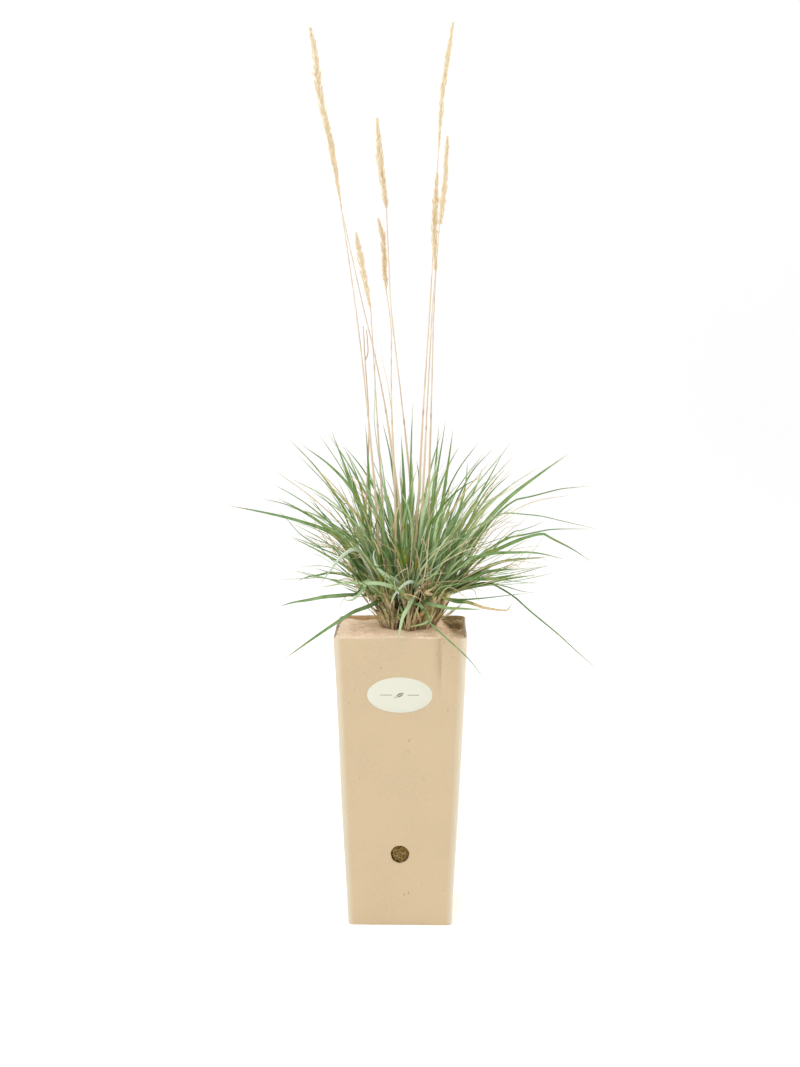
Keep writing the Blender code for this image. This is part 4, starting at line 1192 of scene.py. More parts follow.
def cut_away(piece, cutter_mesh):
    """Takes the cutter out of the piece and leaves no modifier."""
    cutter = bpy.data.objects.new("cutter", cutter_mesh)
    bpy.context.scene.collection.objects.link(cutter)
    modifier = piece.modifiers.new("cut", "BOOLEAN")
    modifier.operation = "DIFFERENCE"
    modifier.solver = "EXACT"
    modifier.object = cutter
    bpy.context.view_layer.update()
    graph = bpy.context.evaluated_depsgraph_get()
    cut = bpy.data.meshes.new_from_object(piece.evaluated_get(graph))
    piece.modifiers.remove(modifier)
    piece.data = cut
    bpy.data.objects.remove(cutter)
    shade_round(piece.data, 40)


def label_mesh():
    """The oval label: rings of an ellipse over its face, round its edge and over its back."""
    angle = 2 * np.pi * np.arange(LABEL_COLUMNS) / LABEL_COLUMNS
    middle, up, out = wall_frame(LABEL_CENTRE_Z)
    back = [(0.0, 0.0), (0.6, 0.0), (0.995, 0.0), (1.0, 0.35)]
    face = [(1.0, 0.75), (0.995, 1.0), (0.6, 1.0), (0.0, 1.0)]
    rings = []
    for share, level in back + face:
        across = share * LABEL_WIDTH / 2 * np.cos(angle)
        rise = share * LABEL_HEIGHT / 2 * np.sin(angle)
        lift = GAP * 0.4 + LABEL_THICK * level
        rings.append(middle + across[:, None] * (1.0, 0.0, 0.0) + rise[:, None] * up + out * lift)
    mesh = wheel_mesh("label_sticker", np.array(rings))
    points = np.array([vertex.co for vertex in mesh.vertices])
    across = points[:, 0] / LABEL_WIDTH + 0.5
    rise = (points - middle) @ up / LABEL_HEIGHT + 0.5
    corners = np.zeros(len(mesh.loops), np.int32)
    mesh.loops.foreach_get("vertex_index", corners)
    add_uv(mesh, np.column_stack([across, rise]), corners)
    return mesh


# Root ball


def bump_at(x, y, centre, spread):
    """A smooth hill of height 1 at its centre, a bell curve with a spread in x and in y."""
    away = ((x - centre[0]) / spread[0]) ** 2 + ((y - centre[1]) / spread[1]) ** 2
    return np.exp(-away / 2)


def with_hills(height, x, y, hills):
    """The height with a table's hills and dips added to it."""
    for rise, centre, spread in hills:
        height = height + rise * bump_at(x, y, centre, spread)
    return height


def ground(x, y):
    """Height of the solids' coir: level, with their hills and dips."""
    return with_hills(GROUND, x, y, GROUND_HILLS)


def pit_share(x, y):
    """1 in the open pit at the back right and up the wall behind it, less at its right, 0 on the felt."""
    pit = smoothstep(0.12, 0.50, bump_at(x, y, (0.0385, 0.033), (0.0085, 0.0095)))
    at_right = 0.42 * smoothstep(0.033, 0.046, x - 0.25 * (y + 0.02))
    return np.maximum(np.maximum(pit, wall_share(x, y)), at_right)


def wall_share(x, y):
    """1 against the pot's back wall behind the pit, where the coir clings to the board up to the rim."""
    return smoothstep(0.0455, 0.0480, y) * smoothstep(0.024, 0.030, x)


def lumps(x, y):
    """What the coir has over its smooth ground: the hills that the photograph shows, and the rise up the
    back wall."""
    lump = with_hills(0.0, x, y, SEEN_HILLS)
    return lump + (POT_HEIGHT - 0.0030 - ground(x, y) - lump) * wall_share(x, y)


def coir_top(x, y):
    """The coir's height with its roughness: slow lumps, fine felt, and coarse crumbs in the pit."""
    points = np.stack([x, y, 0 * x], axis=-1)
    rough = 0.00035 * ripple(points, 0.012, 31) + 0.00016 * ripple(points, 0.0032, 32)
    crumbs = 0.0009 * ripple(points, 0.0045, 33) + 0.0005 * ripple(points, 0.0018, 34)
    return ground(x, y) + lumps(x, y) + rough + crumbs * pit_share(x, y)


def ball_half(z):
    """Half the root ball's width at height z: the inside of the pot's wall, less the gap."""
    return half_width(z) - (WALL + GAP) / math.cos(wall_slope())


def over_coir(x, y):
    """Just over the coir, for the fibres in the pit."""
    return coir_top(x, y) + 0.0003


def root_ball_mesh():
    """The root ball as one closed shell: rounded-square rings across the underside, up inside the wall, and
    in over the top, whose height is the coir's."""
    turn = (np.arange(BALL_COLUMNS) + 0.5) / BALL_COLUMNS
    floor = WALL + GAP
    under = [(share * (ball_half(floor) - 0.001), floor) for share in (0.0, 0.4, 0.8, 1.0)]
    heights = np.concatenate([
        np.linspace(floor + 0.001, 0.046, 5),
        np.linspace(0.049, 0.070, 25),
        np.linspace(0.078, GROUND - 0.0015, 12),
    ])
    sides = [(ball_half(z), z) for z in heights]
    inwards = 1.0 - np.linspace(0.0, 1.0, BALL_RINGS_ON_TOP)
    top = [(ball_half(GROUND) * share - 0.0002, GROUND) for share in inwards]
    profile = np.array(under + sides + top)
    half = profile[:, :1].clip(0.0)
    z = np.repeat(profile[:, 1:], BALL_COLUMNS, axis=1)
    x, y = rounded_square(turn[None], half, corner_radius(half, z, WALL * 0.9))
    upper = (np.arange(len(profile)) >= len(under) + len(sides))[:, None]
    z = np.where(upper, coir_top(x, y), np.minimum(z, coir_top(x, y) - 0.0004))
    drain = smoothstep(1.3, 0.9, np.hypot(x, z - DRAIN_HEIGHT) / DRAIN_RADIUS) * (y < -0.03)
    points = np.stack([x, y, z], axis=-1)
    hollow = drain * (0.0016 + 0.0014 * ripple(points, 0.0040, 35) + 0.0008 * ripple(points, 0.0017, 36))
    y = y + hollow.clip(0.0)
    near = bump_at(x, y, CLUMP_CENTRE, (0.023, 0.019))
    # Olive brown below the top and in the pit is deeper coir; near the clump's middle it is painted shade
    # under the sheaths
    deep_coir_and_shade = np.where(upper, np.maximum(0.78 * pit_share(x, y), smoothstep(0.52, 0.80, near)), 1.0)
    return wheel_mesh("coir_ball", np.stack([x, y, z], axis=-1), {"deep_coir_and_shade": deep_coir_and_shade})


def fibre_rings(middles, headings, lengths, radii, height, rng):
    """Thin three-sided skins along the surface of the given height, each bowed sideways by half a sine."""
    along = np.linspace(-0.5, 0.5, FIBRE_STATIONS)[None, :]
    bow = lengths[:, None] * rng.uniform(-0.28, 0.28, (len(lengths), 1)) * np.cos(np.pi * along)
    wiggle = lengths[:, None] * 0.05 * np.sin(2 * np.pi * along * rng.uniform(0.7, 1.6, (len(lengths), 1)))
    run = lengths[:, None] * along
    x = middles[:, :1] + run * np.cos(headings)[:, None] - (bow + wiggle) * np.sin(headings)[:, None]
    y = middles[:, 1:2] + run * np.sin(headings)[:, None] + (bow + wiggle) * np.cos(headings)[:, None]
    lift = radii[:, None] * 0.4 + rng.uniform(0.0, 1.0, (len(lengths), 1)) ** 3 * 0.0016 * (0.5 + along)
    lines = np.stack([x, y, height(x, y) + lift], axis=-1)
    return round_rings(lines, radii[:, None] * (1.0 - 0.5 * np.abs(2 * along) ** 3), 3)


def round_rings(lines, radii, sides):
    """Round sections along lines (count, points, 3), with a radius for each point."""
    _, side, up = line_frames(lines, level_side=False)
    angle = 2 * np.pi * np.arange(sides) / sides
    cos, sin = np.cos(angle)[None, None, :, None], np.sin(angle)[None, None, :, None]
    return lines[:, :, None] + (cos * side[:, :, None] + sin * up[:, :, None]) * radii[..., None, None]


def threads_with_uv(lines, radii, sides, along):
    """Round sections along lines, with u at the middle and v running along each."""
    rings = round_rings(lines, radii, sides)
    middle = np.full(rings.shape[:3], 0.5)
    return {"rings": rings, "uv": np.stack([middle, np.broadcast_to(along, rings.shape[:3])], axis=-1)}


def coir_fibre_mesh(settings):
    """Loose fibres on the felt, coarser ones in the pit, and a few across the drain hole."""
    rng = np.random.default_rng(FIBRE_SEED)
    count = settings.fibres
    reach = POT_TOP / 2 - WALL - 0.0075
    middles = rng.uniform(-reach, reach, (count, 2))
    lengths = rng.uniform(0.003, 0.011, count)
    radii = settings.fibre_radius * rng.uniform(0.5, 1.3, count)
    pit = pit_share(middles[:, 0], middles[:, 1])
    lengths *= 1.0 - 0.35 * pit
    felt = fibre_rings(middles, rng.uniform(0, 2 * np.pi, count), lengths, radii, coir_top, rng)
    tone = np.where(pit > 0.4, rng.uniform(0.1, 0.8, count), rng.uniform(0.55, 1.0, count))

    few = PIT_FIBRES
    pit_middles = np.column_stack([rng.normal(0.0395, 0.0045, few), rng.normal(0.026, 0.0110, few)])
    pit_middles = np.clip(pit_middles, -reach, reach)
    pit_headings = rng.uniform(0, 2 * np.pi, few)
    pit_lengths = rng.uniform(0.003, 0.008, few)
    pit_radii = np.full(few, settings.fibre_radius * 1.5)
    shags = fibre_rings(pit_middles, pit_headings, pit_lengths, pit_radii, over_coir, rng)

    middle, up, out = wall_frame(DRAIN_HEIGHT)
    angle = rng.uniform(0, 2 * np.pi, DRAIN_FIBRES)
    off = DRAIN_RADIUS * 0.85 * rng.uniform(-1, 1, DRAIN_FIBRES)
    chord = np.sqrt(np.maximum((DRAIN_RADIUS * 0.97) ** 2 - off**2, 1e-9))
    along = np.linspace(-1, 1, FIBRE_STATIONS)[None, :, None]
    across = np.array([1.0, 0.0, 0.0])
    way = np.cos(angle)[:, None] * across + np.sin(angle)[:, None] * up
    square = -np.sin(angle)[:, None] * across + np.cos(angle)[:, None] * up
    sink = -out * (WALL + 0.0001 + 0.0008 * rng.uniform(0, 1, (DRAIN_FIBRES, 1)))[:, None]
    lines = middle + square[:, None] * off[:, None, None] + way[:, None] * chord[:, None, None] * along * 0.8
    lines = lines + sink + square[:, None] * 0.0011 * np.sin(3.0 * along + angle[:, None, None])
    plug = round_rings(lines, np.full((DRAIN_FIBRES, FIBRE_STATIONS), settings.fibre_radius * 1.5), 3)
    return skins_mesh("coir_fibres", [
        {"rings": felt, "tone": tone[:, None, None]},
        {"rings": shags, "tone": rng.uniform(0.1, 0.85, few)[:, None, None]},
        {"rings": plug, "tone": rng.uniform(0.0, 0.45, DRAIN_FIBRES)[:, None, None] ** 1.5},
    ])


# Shoots, by the same rules as the frame's solids, so that the blades lie near those


def bundle_top(name):
    """Middle of a bundle's level top."""
    (x, y), _, (lean_x, lean_y) = BUNDLES[name]
    z = ground(x, y) + GAP + BUNDLE_HEIGHT
    return np.array([x + lean_x * BUNDLE_HEIGHT, y + lean_y * BUNDLE_HEIGHT, z])


def shoots():
    """Foot and outward direction of each shoot, in a ring on its bundle's top."""
    made = []
    for name, count in SHOOTS_ON.items():
        top = bundle_top(name)
        out = top[:2] - CLUMP_CENTRE
        heading = math.atan2(out[1], out[0]) if name != "heart" else 0.9
        radius = BUNDLES[name][1] * SHOOT_RING
        for k in range(count):
            half_step = 0.5 if count % 2 == 0 else 0.0
            around = heading + 2 * math.pi * (k + half_step) / count
            offset = radius * np.array([math.cos(around), math.sin(around)])
            foot = np.array([top[0] + offset[0], top[1] + offset[1], top[2] + GAP])
            away = foot[:2] - CLUMP_CENTRE
            azimuth = math.atan2(away[1], away[0])
            lean = np.array(BUNDLES[name][2]) + SHOOT_SPREAD * offset / radius
            made.append({"bundle": name, "foot": foot, "lean": lean, "azimuth": azimuth})
    return made


def along_sheath(shoot, height):
    """The point that high up the middle of a shoot's sheath."""
    return shoot["foot"] + height * np.array([*shoot["lean"], 1.0])


def blade_root(shoot, azimuth, order):
    """Where a blade starts inside the sheath: on the side that it leaves by, each blade higher up."""
    aside = BLADE_OFFSET * np.array([math.cos(azimuth), math.sin(azimuth), 0.0])
    return along_sheath(shoot, BLADE_ROOT[0] + BLADE_ROOT[1] * order) + aside


def leaf_line(shoot, points, order):
    """From inside the sheath, out at its mouth, and on through the given points."""
    away = np.array(points[0][:2]) - shoot["foot"][:2]
    root = blade_root(shoot, math.atan2(away[1], away[0]), order)
    return smooth_path([root, *points], LEAF_RINGS)


def arching_line(shoot, order, length, azimuth, tilt_foot, tilt_tip):
    """A blade whose tilt from upright grows steadily from foot to tip, all at one azimuth."""
    tilt = np.radians(np.linspace(tilt_foot, tilt_tip, FILL_RINGS))
    tilt = (tilt[1:] + tilt[:-1]) / 2
    way = np.column_stack([np.sin(tilt) * math.cos(azimuth), np.sin(tilt) * math.sin(azimuth), np.cos(tilt)])
    start = blade_root(shoot, azimuth, order)
    return np.vstack([start, start + np.cumsum(way * length / (FILL_RINGS - 1), axis=0)])


def between(limits, share):
    """The value that share of the way from the lower limit to the upper one."""
    return limits[0] + (limits[1] - limits[0]) * share


def fill_blade(index, shoot, order):
    """Width and line of the blade of that number: its sizes step through their ranges by golden shares."""
    a, b, c, d = ((index * share) % 1.0 for share in (0.6180, 0.7549, 0.5698, 0.8192))
    outward = np.linalg.norm(shoot["foot"][:2] - CLUMP_CENTRE) / OUTER_REACH
    azimuth = shoot["azimuth"] + math.radians(FILL_FAN) * (2 * a - 1)
    tilt_foot = between(FILL_TILT_FOOT, min(1.0, 0.55 * b + 0.45 * outward))
    tilt_tip = between(FILL_TILT_TIP, min(1.0, 0.55 * c + 0.40 * outward))
    line = arching_line(shoot, order, between(FILL_LENGTH, d), azimuth, tilt_foot, tilt_tip)
    return between(FILL_WIDTH, b), line


def is_clear(line, owner, placed):
    """Whether a blade keeps clear of stems and other blades. Those of one shoot may join low down."""
    path = spaced(line, PATH_SAMPLES)
    run = np.linspace(0.0, np.linalg.norm(np.diff(path, axis=0), axis=1).sum(), len(path))
    apart = np.where(run < NEAR_LENGTH, CLEAR_NEAR, CLEAR_FAR)
    apart_from_own = np.where(run < SHARED_LENGTH, 0.0, CLEAR_NEAR)
    for other, theirs in placed:
        distance = np.linalg.norm(path[:, None] - theirs[None], axis=2).min(axis=1)
        if (distance < (apart_from_own if other == owner else apart)).any():
            return False
    return True


def leaf_owner(all_shoots, bundle, points, blades, placed):
    """The bundle's nearest shoot from which the leaf is clear of the others, and the leaf's line."""
    own = [i for i, shoot in enumerate(all_shoots) if shoot["bundle"] == bundle]
    own.sort(key=lambda i: np.linalg.norm(all_shoots[i]["foot"][:2] - np.array(points[0][:2])))
    for owner in own:
        line = leaf_line(all_shoots[owner], points, len(blades[owner]))
        if is_clear(line, owner, placed):
            return owner, line
    return own[0], leaf_line(all_shoots[own[0]], points, len(blades[own[0]]))


def stem_path(bundle, aside, points, count):
    """A stem's middle line, from just above its bundle's top."""
    foot = bundle_top(bundle) + (*aside, GAP)
    return smooth_path([foot, *points], count)


def all_blades(all_shoots):
    """The blades of each shoot: the photographed ones first, then those of the formula that are clear."""
    placed = [("stem", stem_path(*stem[:3], STEM_SAMPLES)) for stem in STEMS]
    placed.append(("stem", stem_path(DRY_BUNDLE, DRY_ASIDE, DRY_STEM, DRY_SAMPLES)))
    blades = [[] for _ in all_shoots]
    for number, (bundle, width, points) in enumerate(LEAVES):
        owner, line = leaf_owner(all_shoots, bundle, points, blades, placed)
        placed.append((owner, spaced(line, PATH_SAMPLES)))
        width = width * SEEN_SLIMMER
        if number in COURSES:
            width, points = COURSES[number]
            line = smooth_path([line[0], *points], COURSE_STATIONS)
        blades[owner].append((width, line, WAXY_LEAVES.get(number, LEAF_WAX)))
    index = 1
    for wanted in range(1, BLADES_PER_SHOOT + 1):
        for owner, shoot in enumerate(all_shoots):
            for _ in range(FILL_TRIES):
                if len(blades[owner]) >= wanted:
                    break
                width, line = fill_blade(index, shoot, len(blades[owner]))
                index += 1
                if is_clear(line, owner, placed):
                    blades[owner].append((width * BETWEEN_SLIMMER, line, None))
                    placed.append((owner, spaced(line, PATH_SAMPLES)))
    return blades


# Leaf blades

# Across a blade's section: how far out (share of the half width), how far up the fold (0 at the midrib, 1
# at the edge), and how far below that the underside is (share of the thickness)
SECTION = np.array([
    (-1.0, 1.0, 0.0), (-0.5, 0.42, 0.0), (0.0, 0.0, 0.0), (0.5, 0.42, 0.0),
    (1.0, 1.0, 0.0), (0.5, 0.42, -0.8), (0.0, 0.0, -1.6), (-0.5, 0.42, -0.8),
])


def blade_batch(lines, widths, tones, dries, golds, rng, twist, fold=0.34, facing=None):
    """Keeled grass blades.

    The half width grows from the foot, is full by a quarter of the length and falls to a point as
    1 - s^2.4. The section is a V whose sides rise by the fold, deeper at the foot and the tip, over a
    midrib; the blade twists slowly, more towards its tip.
    """
    count, stations = lines.shape[:2]
    share = np.linspace(0.0, 1.0, stations)[None, :]
    turn = rng.uniform(-twist, twist, (count, 1)) * share**1.3
    waves = share * rng.uniform(0.8, 1.8, (count, 1)) + rng.uniform(0, 1, (count, 1))
    turn = turn + 0.10 * np.sin(2 * np.pi * waves)
    _, side, up = line_frames(lines, twist=turn, facing=facing)
    half = 0.5 * widths[:, None] * np.minimum(1.0, 0.40 + 2.4 * share) * (1.0 - share**2.4) + 0.00007
    depth = half * fold * (1.0 + 1.1 * np.exp(-((share / 0.16) ** 2)) + 0.8 * share**4)
    thickness = np.minimum(BLADE_THICK, half * 0.6)
    out = SECTION[None, None, :, 0] * half[..., None]
    rise = SECTION[None, None, :, 1] * depth[..., None]
    rise = rise + SECTION[None, None, :, 2] * thickness[..., None]
    rings = lines[:, :, None] + out[..., None] * side[:, :, None] + rise[..., None] * up[:, :, None]
    across = np.broadcast_to((SECTION[:, 0] + 1) / 2, rings.shape[:3])
    along = np.broadcast_to(share[..., None], rings.shape[:3])
    return {
        "rings": rings[:, :, ::-1], "uv": np.stack([across, along], axis=-1)[:, :, ::-1],
        "tone": tones[:, None, None], "dry": dries[:, None, None], "gold": golds[:, None, None],
    }


def sheath_tube_batch(shoot, rng):
    """The leaf sheath that the blades of a shoot leave: a slim round skin, narrower at its mouth."""
    stations, sides = 12, 10
    height = np.linspace(SHEATH_FOOT, SHEATH_HEIGHT, stations)
    line = np.array([along_sheath(shoot, h) for h in height])[None]
    radius = SHEATH_RADIUS * np.interp(height, [SHEATH_FOOT, 0.0, SHEATH_HEIGHT], [0.55, 0.95, 0.62])
    rings = round_rings(line, radius[None], sides)
    around = np.broadcast_to(np.linspace(0, 1, sides, endpoint=False)[None, None, :], rings.shape[:3])
    along = np.broadcast_to(np.linspace(0.0, 0.12, stations)[None, :, None], rings.shape[:3])
    dry = 1.25 - 0.55 * smoothstep(rng.uniform(-0.004, 0.006), SHEATH_HEIGHT + 0.002, height)
    return {
        "rings": rings, "uv": np.stack([around, along], axis=-1), "tone": rng.uniform(0.1, 1.0),
        "dry": dry[None, :, None], "gold": rng.uniform(0.0, 0.5),
    }


def wandering(lines, amount, rng):
    """Lines that wander a little off their course, by two slow sines that are nought at the foot."""
    count, stations = lines.shape[:2]
    share = np.linspace(0.0, 1.0, stations)[None, :, None]
    way = unit(rng.normal(size=(2, count, 1, 3)))
    phase = rng.uniform(0, 2 * np.pi, (2, count, 1, 1))
    sway = way[0] * (np.sin(3.1 * share + phase[0]) - np.sin(phase[0]))
    sway = sway + 0.45 * way[1] * (np.sin(7.3 * share + phase[1]) - np.sin(phase[1]))
    return lines + amount * share * sway


def gathered(points):
    """Points of the clump's foot, those at its left drawn in by up to 4 mm.

    The pull is full where a sheath stands 20 to 28 mm aside of the clump's middle. By height it is a bell
    curve, at its most 16 mm over the coir.
    """
    aside = CLUMP_CENTRE[0] - points[..., 0]
    pull = 0.004 * smoothstep(0.004, 0.020, aside) * smoothstep(0.042, 0.028, aside)
    pull = pull * np.exp(-(((points[..., 2] - GROUND - 0.016) / 0.015) ** 2))
    return points + pull[..., None] * np.array([1.0, 0.0, 0.0])


def leaf_mesh(name, shoot, blades, rng):
    """All the blades of one shoot with their sheath, as one mesh."""
    lines = np.stack([smooth_path(line, BLADE_STATIONS) for _, line, _ in blades])
    widths = np.array([width for width, _, _ in blades])
    count = len(blades)
    loose = np.array([wax is None for _, _, wax in blades])
    waxes = np.array([wax or 0.0 for _, _, wax in blades])
    odds = rng.uniform(size=(4, count))
    lines = wandering(lines, np.where(loose, 0.0055, 0.0012)[:, None, None], rng)
    dries = np.where(loose & (odds[0] < 0.12), rng.uniform(0.15, 0.5, count), rng.uniform(0.0, 0.06, count))
    dries = np.where(loose & (odds[1] < 0.05), 1.4, dries)
    # Blades of the right-hand bundles are paler: partly waxier blades, partly painted light from the right
    tones = np.clip(rng.normal(0.26, 0.26, count), 0.0, 1.0) + 0.26 * ("right" in shoot["bundle"])
    tones = np.where(odds[2] < 0.12, rng.uniform(0.6, 1.0, count), tones)
    tones = np.where(loose, tones, waxes + rng.uniform(-0.1, 0.1, count))
    facing = np.where(loose, rng.uniform(0.0, 0.42, count), np.where(waxes > 0.9, 0.90, 0.72))
    golds = np.where(odds[3] < 0.16, rng.uniform(0.8, 2.6, count), rng.uniform(0.0, 0.7, count))
    golds = np.where(loose, golds, rng.uniform(0.0, 0.25, count))
    batch = blade_batch(lines, widths, tones, dries, golds, rng, twist=0.35, facing=facing)
    tube = sheath_tube_batch(shoot, rng)
    for part in (batch, tube):
        part["rings"] = gathered(part["rings"])
    return skins_mesh(name, [batch, tube])


def stray_lines(name, count, rng, wander):
    """Thin leaves from all over the clump, or from its outer shoots.

    The tilt of each goes from the one at its foot to the one at its tip by a power of the share of its
    length, and its azimuth turns evenly.
    """
    outer, length, tilt_foot, tilt_tip = STRAYS[name]
    all_shoots = shoots()
    if outer:
        away = [np.linalg.norm(shoot["foot"][:2] - CLUMP_CENTRE) for shoot in all_shoots]
        all_shoots = [shoot for shoot, distance in zip(all_shoots, away) if distance > 0.020]
    picks = rng.integers(0, len(all_shoots), count)
    feet = np.array([
        along_sheath(all_shoots[pick], rng.uniform(0.0, 0.008) if outer else -0.004) for pick in picks
    ])
    spin = rng.uniform(0, 2 * np.pi, count)
    feet[:, :2] += 0.0022 * np.stack([np.cos(spin), np.sin(spin)], axis=1)
    azimuth = np.array([all_shoots[pick]["azimuth"] for pick in picks]) + rng.normal(0.0, 0.75, count)
    outward = np.linalg.norm(feet[:, :2] - CLUMP_CENTRE, axis=1) / OUTER_REACH
    first = np.radians(rng.uniform(*tilt_foot, count) * (0.35 + 0.65 * outward))
    last = np.radians(rng.uniform(*tilt_tip, count) * (0.55 + 0.45 * outward))
    share = np.linspace(0.0, 1.0, STRAY_STATIONS)[None, :]
    tilt = first[:, None] + (last - first)[:, None] * share ** rng.uniform(0.7, 1.6, (count, 1))
    turn = azimuth[:, None] + rng.normal(0.0, 0.25, (count, 1)) * share
    way = np.stack([np.sin(tilt) * np.cos(turn), np.sin(tilt) * np.sin(turn), np.cos(tilt)], axis=-1)
    run = rng.uniform(*length, count)[:, None, None]
    lines = feet[:, None] + np.cumsum(way, axis=1) * run / STRAY_STATIONS
    return kept_inside(wandering(lines, wander, rng))


def kept_inside(lines):
    """Lines drawn in towards their feet, along X and Y, where they would leave the box of the frame."""
    low, high = (np.array(corner)[:2] for corner in CAD_BOX)
    feet = lines[:, :1, :2]
    away = lines[..., :2] - feet
    room = np.abs(np.where(away > 0, high - feet, low - feet))
    share = np.minimum(1.0, room / np.maximum(np.abs(away), 1e-6)).min(axis=(1, 2))
    lines[..., :2] = feet + away * share[:, None, None]
    return lines


def strand_start(bundle, point, all_shoots):
    """Just inside the mouth of the bundle's shoot that stands nearest to the point."""
    own = [shoot for shoot in all_shoots if shoot["bundle"] == bundle]
    nearest = min(own, key=lambda shoot: np.linalg.norm(shoot["foot"][:2] - np.array(point[:2])))
    return along_sheath(nearest, 0.006)


def seen_strands_mesh(rng):
    """The thin leaves and dead strands of the table: blades along smooth curves through their points."""
    all_shoots = shoots()
    lines = np.stack([
        smooth_path([strand_start(bundle, points[0], all_shoots), *points], STRAND_STATIONS)
        for _, bundle, _, points in STRANDS
    ])
    widths = np.array([width for _, _, width, _ in STRANDS])
    looks = np.array([STRAND_LOOKS[finish] for finish, _, _, _ in STRANDS])
    tones = looks[:, 0] * rng.uniform(0.9, 1.1, len(STRANDS))
    golds = rng.uniform(0.0, 0.8, len(STRANDS))
    facing = np.full(len(STRANDS), 0.65)
    batch = blade_batch(lines, widths, tones, looks[:, 1], golds, rng, twist=0.6, facing=facing)
    return skins_mesh("seen_strands", [batch])


# Sheath bundles


def drawn_in(feet):
    """Feet of sheaths drawn towards the clump's middle, the more so the further aside they stand."""
    aside = feet - CLUMP_CENTRE
    return feet - aside * 0.15 * np.minimum(1.0, np.abs(aside[:, :1]) / 0.020)


def bundle_mesh(name, rng, foot, radius, lean, rings_of=BUNDLE_RINGS, taller=1.0):
    """Old sheaths round a bundle: each a curved strip whose cross-section is an open arc of a circle.

    The strips stand in three rings on the coir, lean with the bundle and flare outwards as they rise; the
    upper edge is torn, its height falling and rising along the arc by seeded waves.
    """
    x, y = foot
    rows, columns = 12, 9
    batches = []
    for ring, (count, reach) in enumerate(rings_of):
        angle = 2 * np.pi * (np.arange(count) + rng.uniform(-0.25, 0.25, count)) / count + ring
        out = np.stack([np.cos(angle), np.sin(angle)], axis=1)
        middles = np.array([x, y]) + out * radius * reach * rng.uniform(0.90, 1.04, (count, 1))
        feet = drawn_in(middles)
        height = rng.uniform(0.014, 0.034, count) * (1.0 if ring else 0.80) * taller
        span = rng.uniform(1.4, 3.2, count)
        size = rng.uniform(0.0007, 0.0018, count)
        share = np.linspace(0.0, 1.0, rows)[None, :, None]
        arc = np.linspace(-0.5, 0.5, columns)[None, None, :]
        waves = rng.uniform(2, 7, (count, 1, 1)) * arc + rng.uniform(0, 3, (count, 1, 1))
        tear = 1.0 - 0.50 * np.abs(np.sin(waves))
        rise = height[:, None, None] * share * (1.0 - share * (1.0 - tear))
        theta = angle[:, None, None] + span[:, None, None] * arc * (1.0 - 0.35 * share)
        bulge = size[:, None, None] * (1.0 + 0.25 * np.sin(np.pi * share)) * (1.0 - 0.30 * share)
        flare = rng.uniform(-0.04, 0.20, (count, 1, 1)) * rise * share**0.5
        curled = rng.uniform(size=(count, 1, 1)) < 0.22 * (ring == 0)
        flare = np.where(curled, rise * 0.55 * share, flare)
        swing = rng.normal(0.0, 0.11, (2, count, 1, 1)) * rise
        back = smoothstep(0.0, 0.020, rise)
        thick = 0.00011
        sheets = []
        for depth in (thick, -thick):
            sheet = []
            for axis, curve in ((0, np.cos(theta)), (1, np.sin(theta))):
                way = out[:, None, None, axis]
                start = feet[:, None, None, axis] + (middles - feet)[:, None, None, axis] * back
                sheet.append(
                    start + (bulge + depth) * curve - bulge * 0.5 * way + lean[axis] * rise + flare * way
                    + swing[axis]
                )
            sheets.append(np.stack([*sheet, ground(x, y) - 0.0006 + rise + 0 * sheet[0]], axis=-1))
        rings = gathered(np.concatenate([sheets[0], sheets[1][:, :, ::-1]], axis=2))
        across = np.broadcast_to(arc + 0.5, sheets[0].shape[:3])
        across = np.concatenate([across, across[:, :, ::-1]], axis=2)
        along = np.broadcast_to(share * height[:, None, None] / 0.030, rings.shape[:3])
        brown = BROWN_BUNDLES.get(name, 0.0)
        fresh = rng.uniform(0.0, 1.0, count) * (name != "between") * (1.0 - brown)
        batches.append({
            "rings": rings, "uv": np.stack([across, along], axis=-1),
            # Inner rings darker: painted shade inside the bundle; brown bundles are browner in their own
            # colour
            "tone": rng.uniform(0.0, 1.0, count)[:, None, None] * (1.0 - 0.30 * ring - 0.5 * brown),
            "fresh": fresh[:, None, None],
        })
    return skins_mesh(f"old_sheaths_{name}", batches)


def frayed_mesh(rng):
    """Short frayed threads of torn sheaths between and around the bundles."""
    batches = []
    for name, ((x, y), radius, lean) in BUNDLES.items():
        brown = BROWN_BUNDLES.get(name, 0.0)
        count, stations = 18 + int(34 * brown), 8
        angle = rng.uniform(0, 2 * np.pi, count)
        reach = radius * rng.uniform(0.70, 1.05, count)
        feet = drawn_in(np.stack([x + reach * np.cos(angle), y + reach * np.sin(angle)], axis=1))
        share = np.linspace(0.0, 1.0, stations)[None, :]
        length = rng.uniform(0.008, 0.026, count)[:, None]
        bend = rng.uniform(0.0, 0.9 + 0.7 * brown, (count, 1))
        out = np.sin(bend * share) * length * share
        px = feet[:, :1] + lean[0] * length * share + out * np.cos(angle)[:, None]
        py = feet[:, 1:] + lean[1] * length * share + out * np.sin(angle)[:, None]
        pz = ground(x, y) - 0.0005 + length * share * np.cos(bend * share)
        lines = wandering(np.stack([px, py, pz], axis=-1), 0.0016, rng)
        radii = np.full((count, 1), 0.00018) * rng.uniform(0.5, 1.3, (count, 1)) * (1.0 - 0.75 * share)
        batches.append({
            **threads_with_uv(lines, radii, 4, share[..., None]),
            "tone": rng.uniform(0.2, 1.0, count)[:, None, None],
            "fresh": rng.uniform(0.0, 0.4, count)[:, None, None],
        })
    return skins_mesh("frayed_threads", batches)


# Stems and seed heads


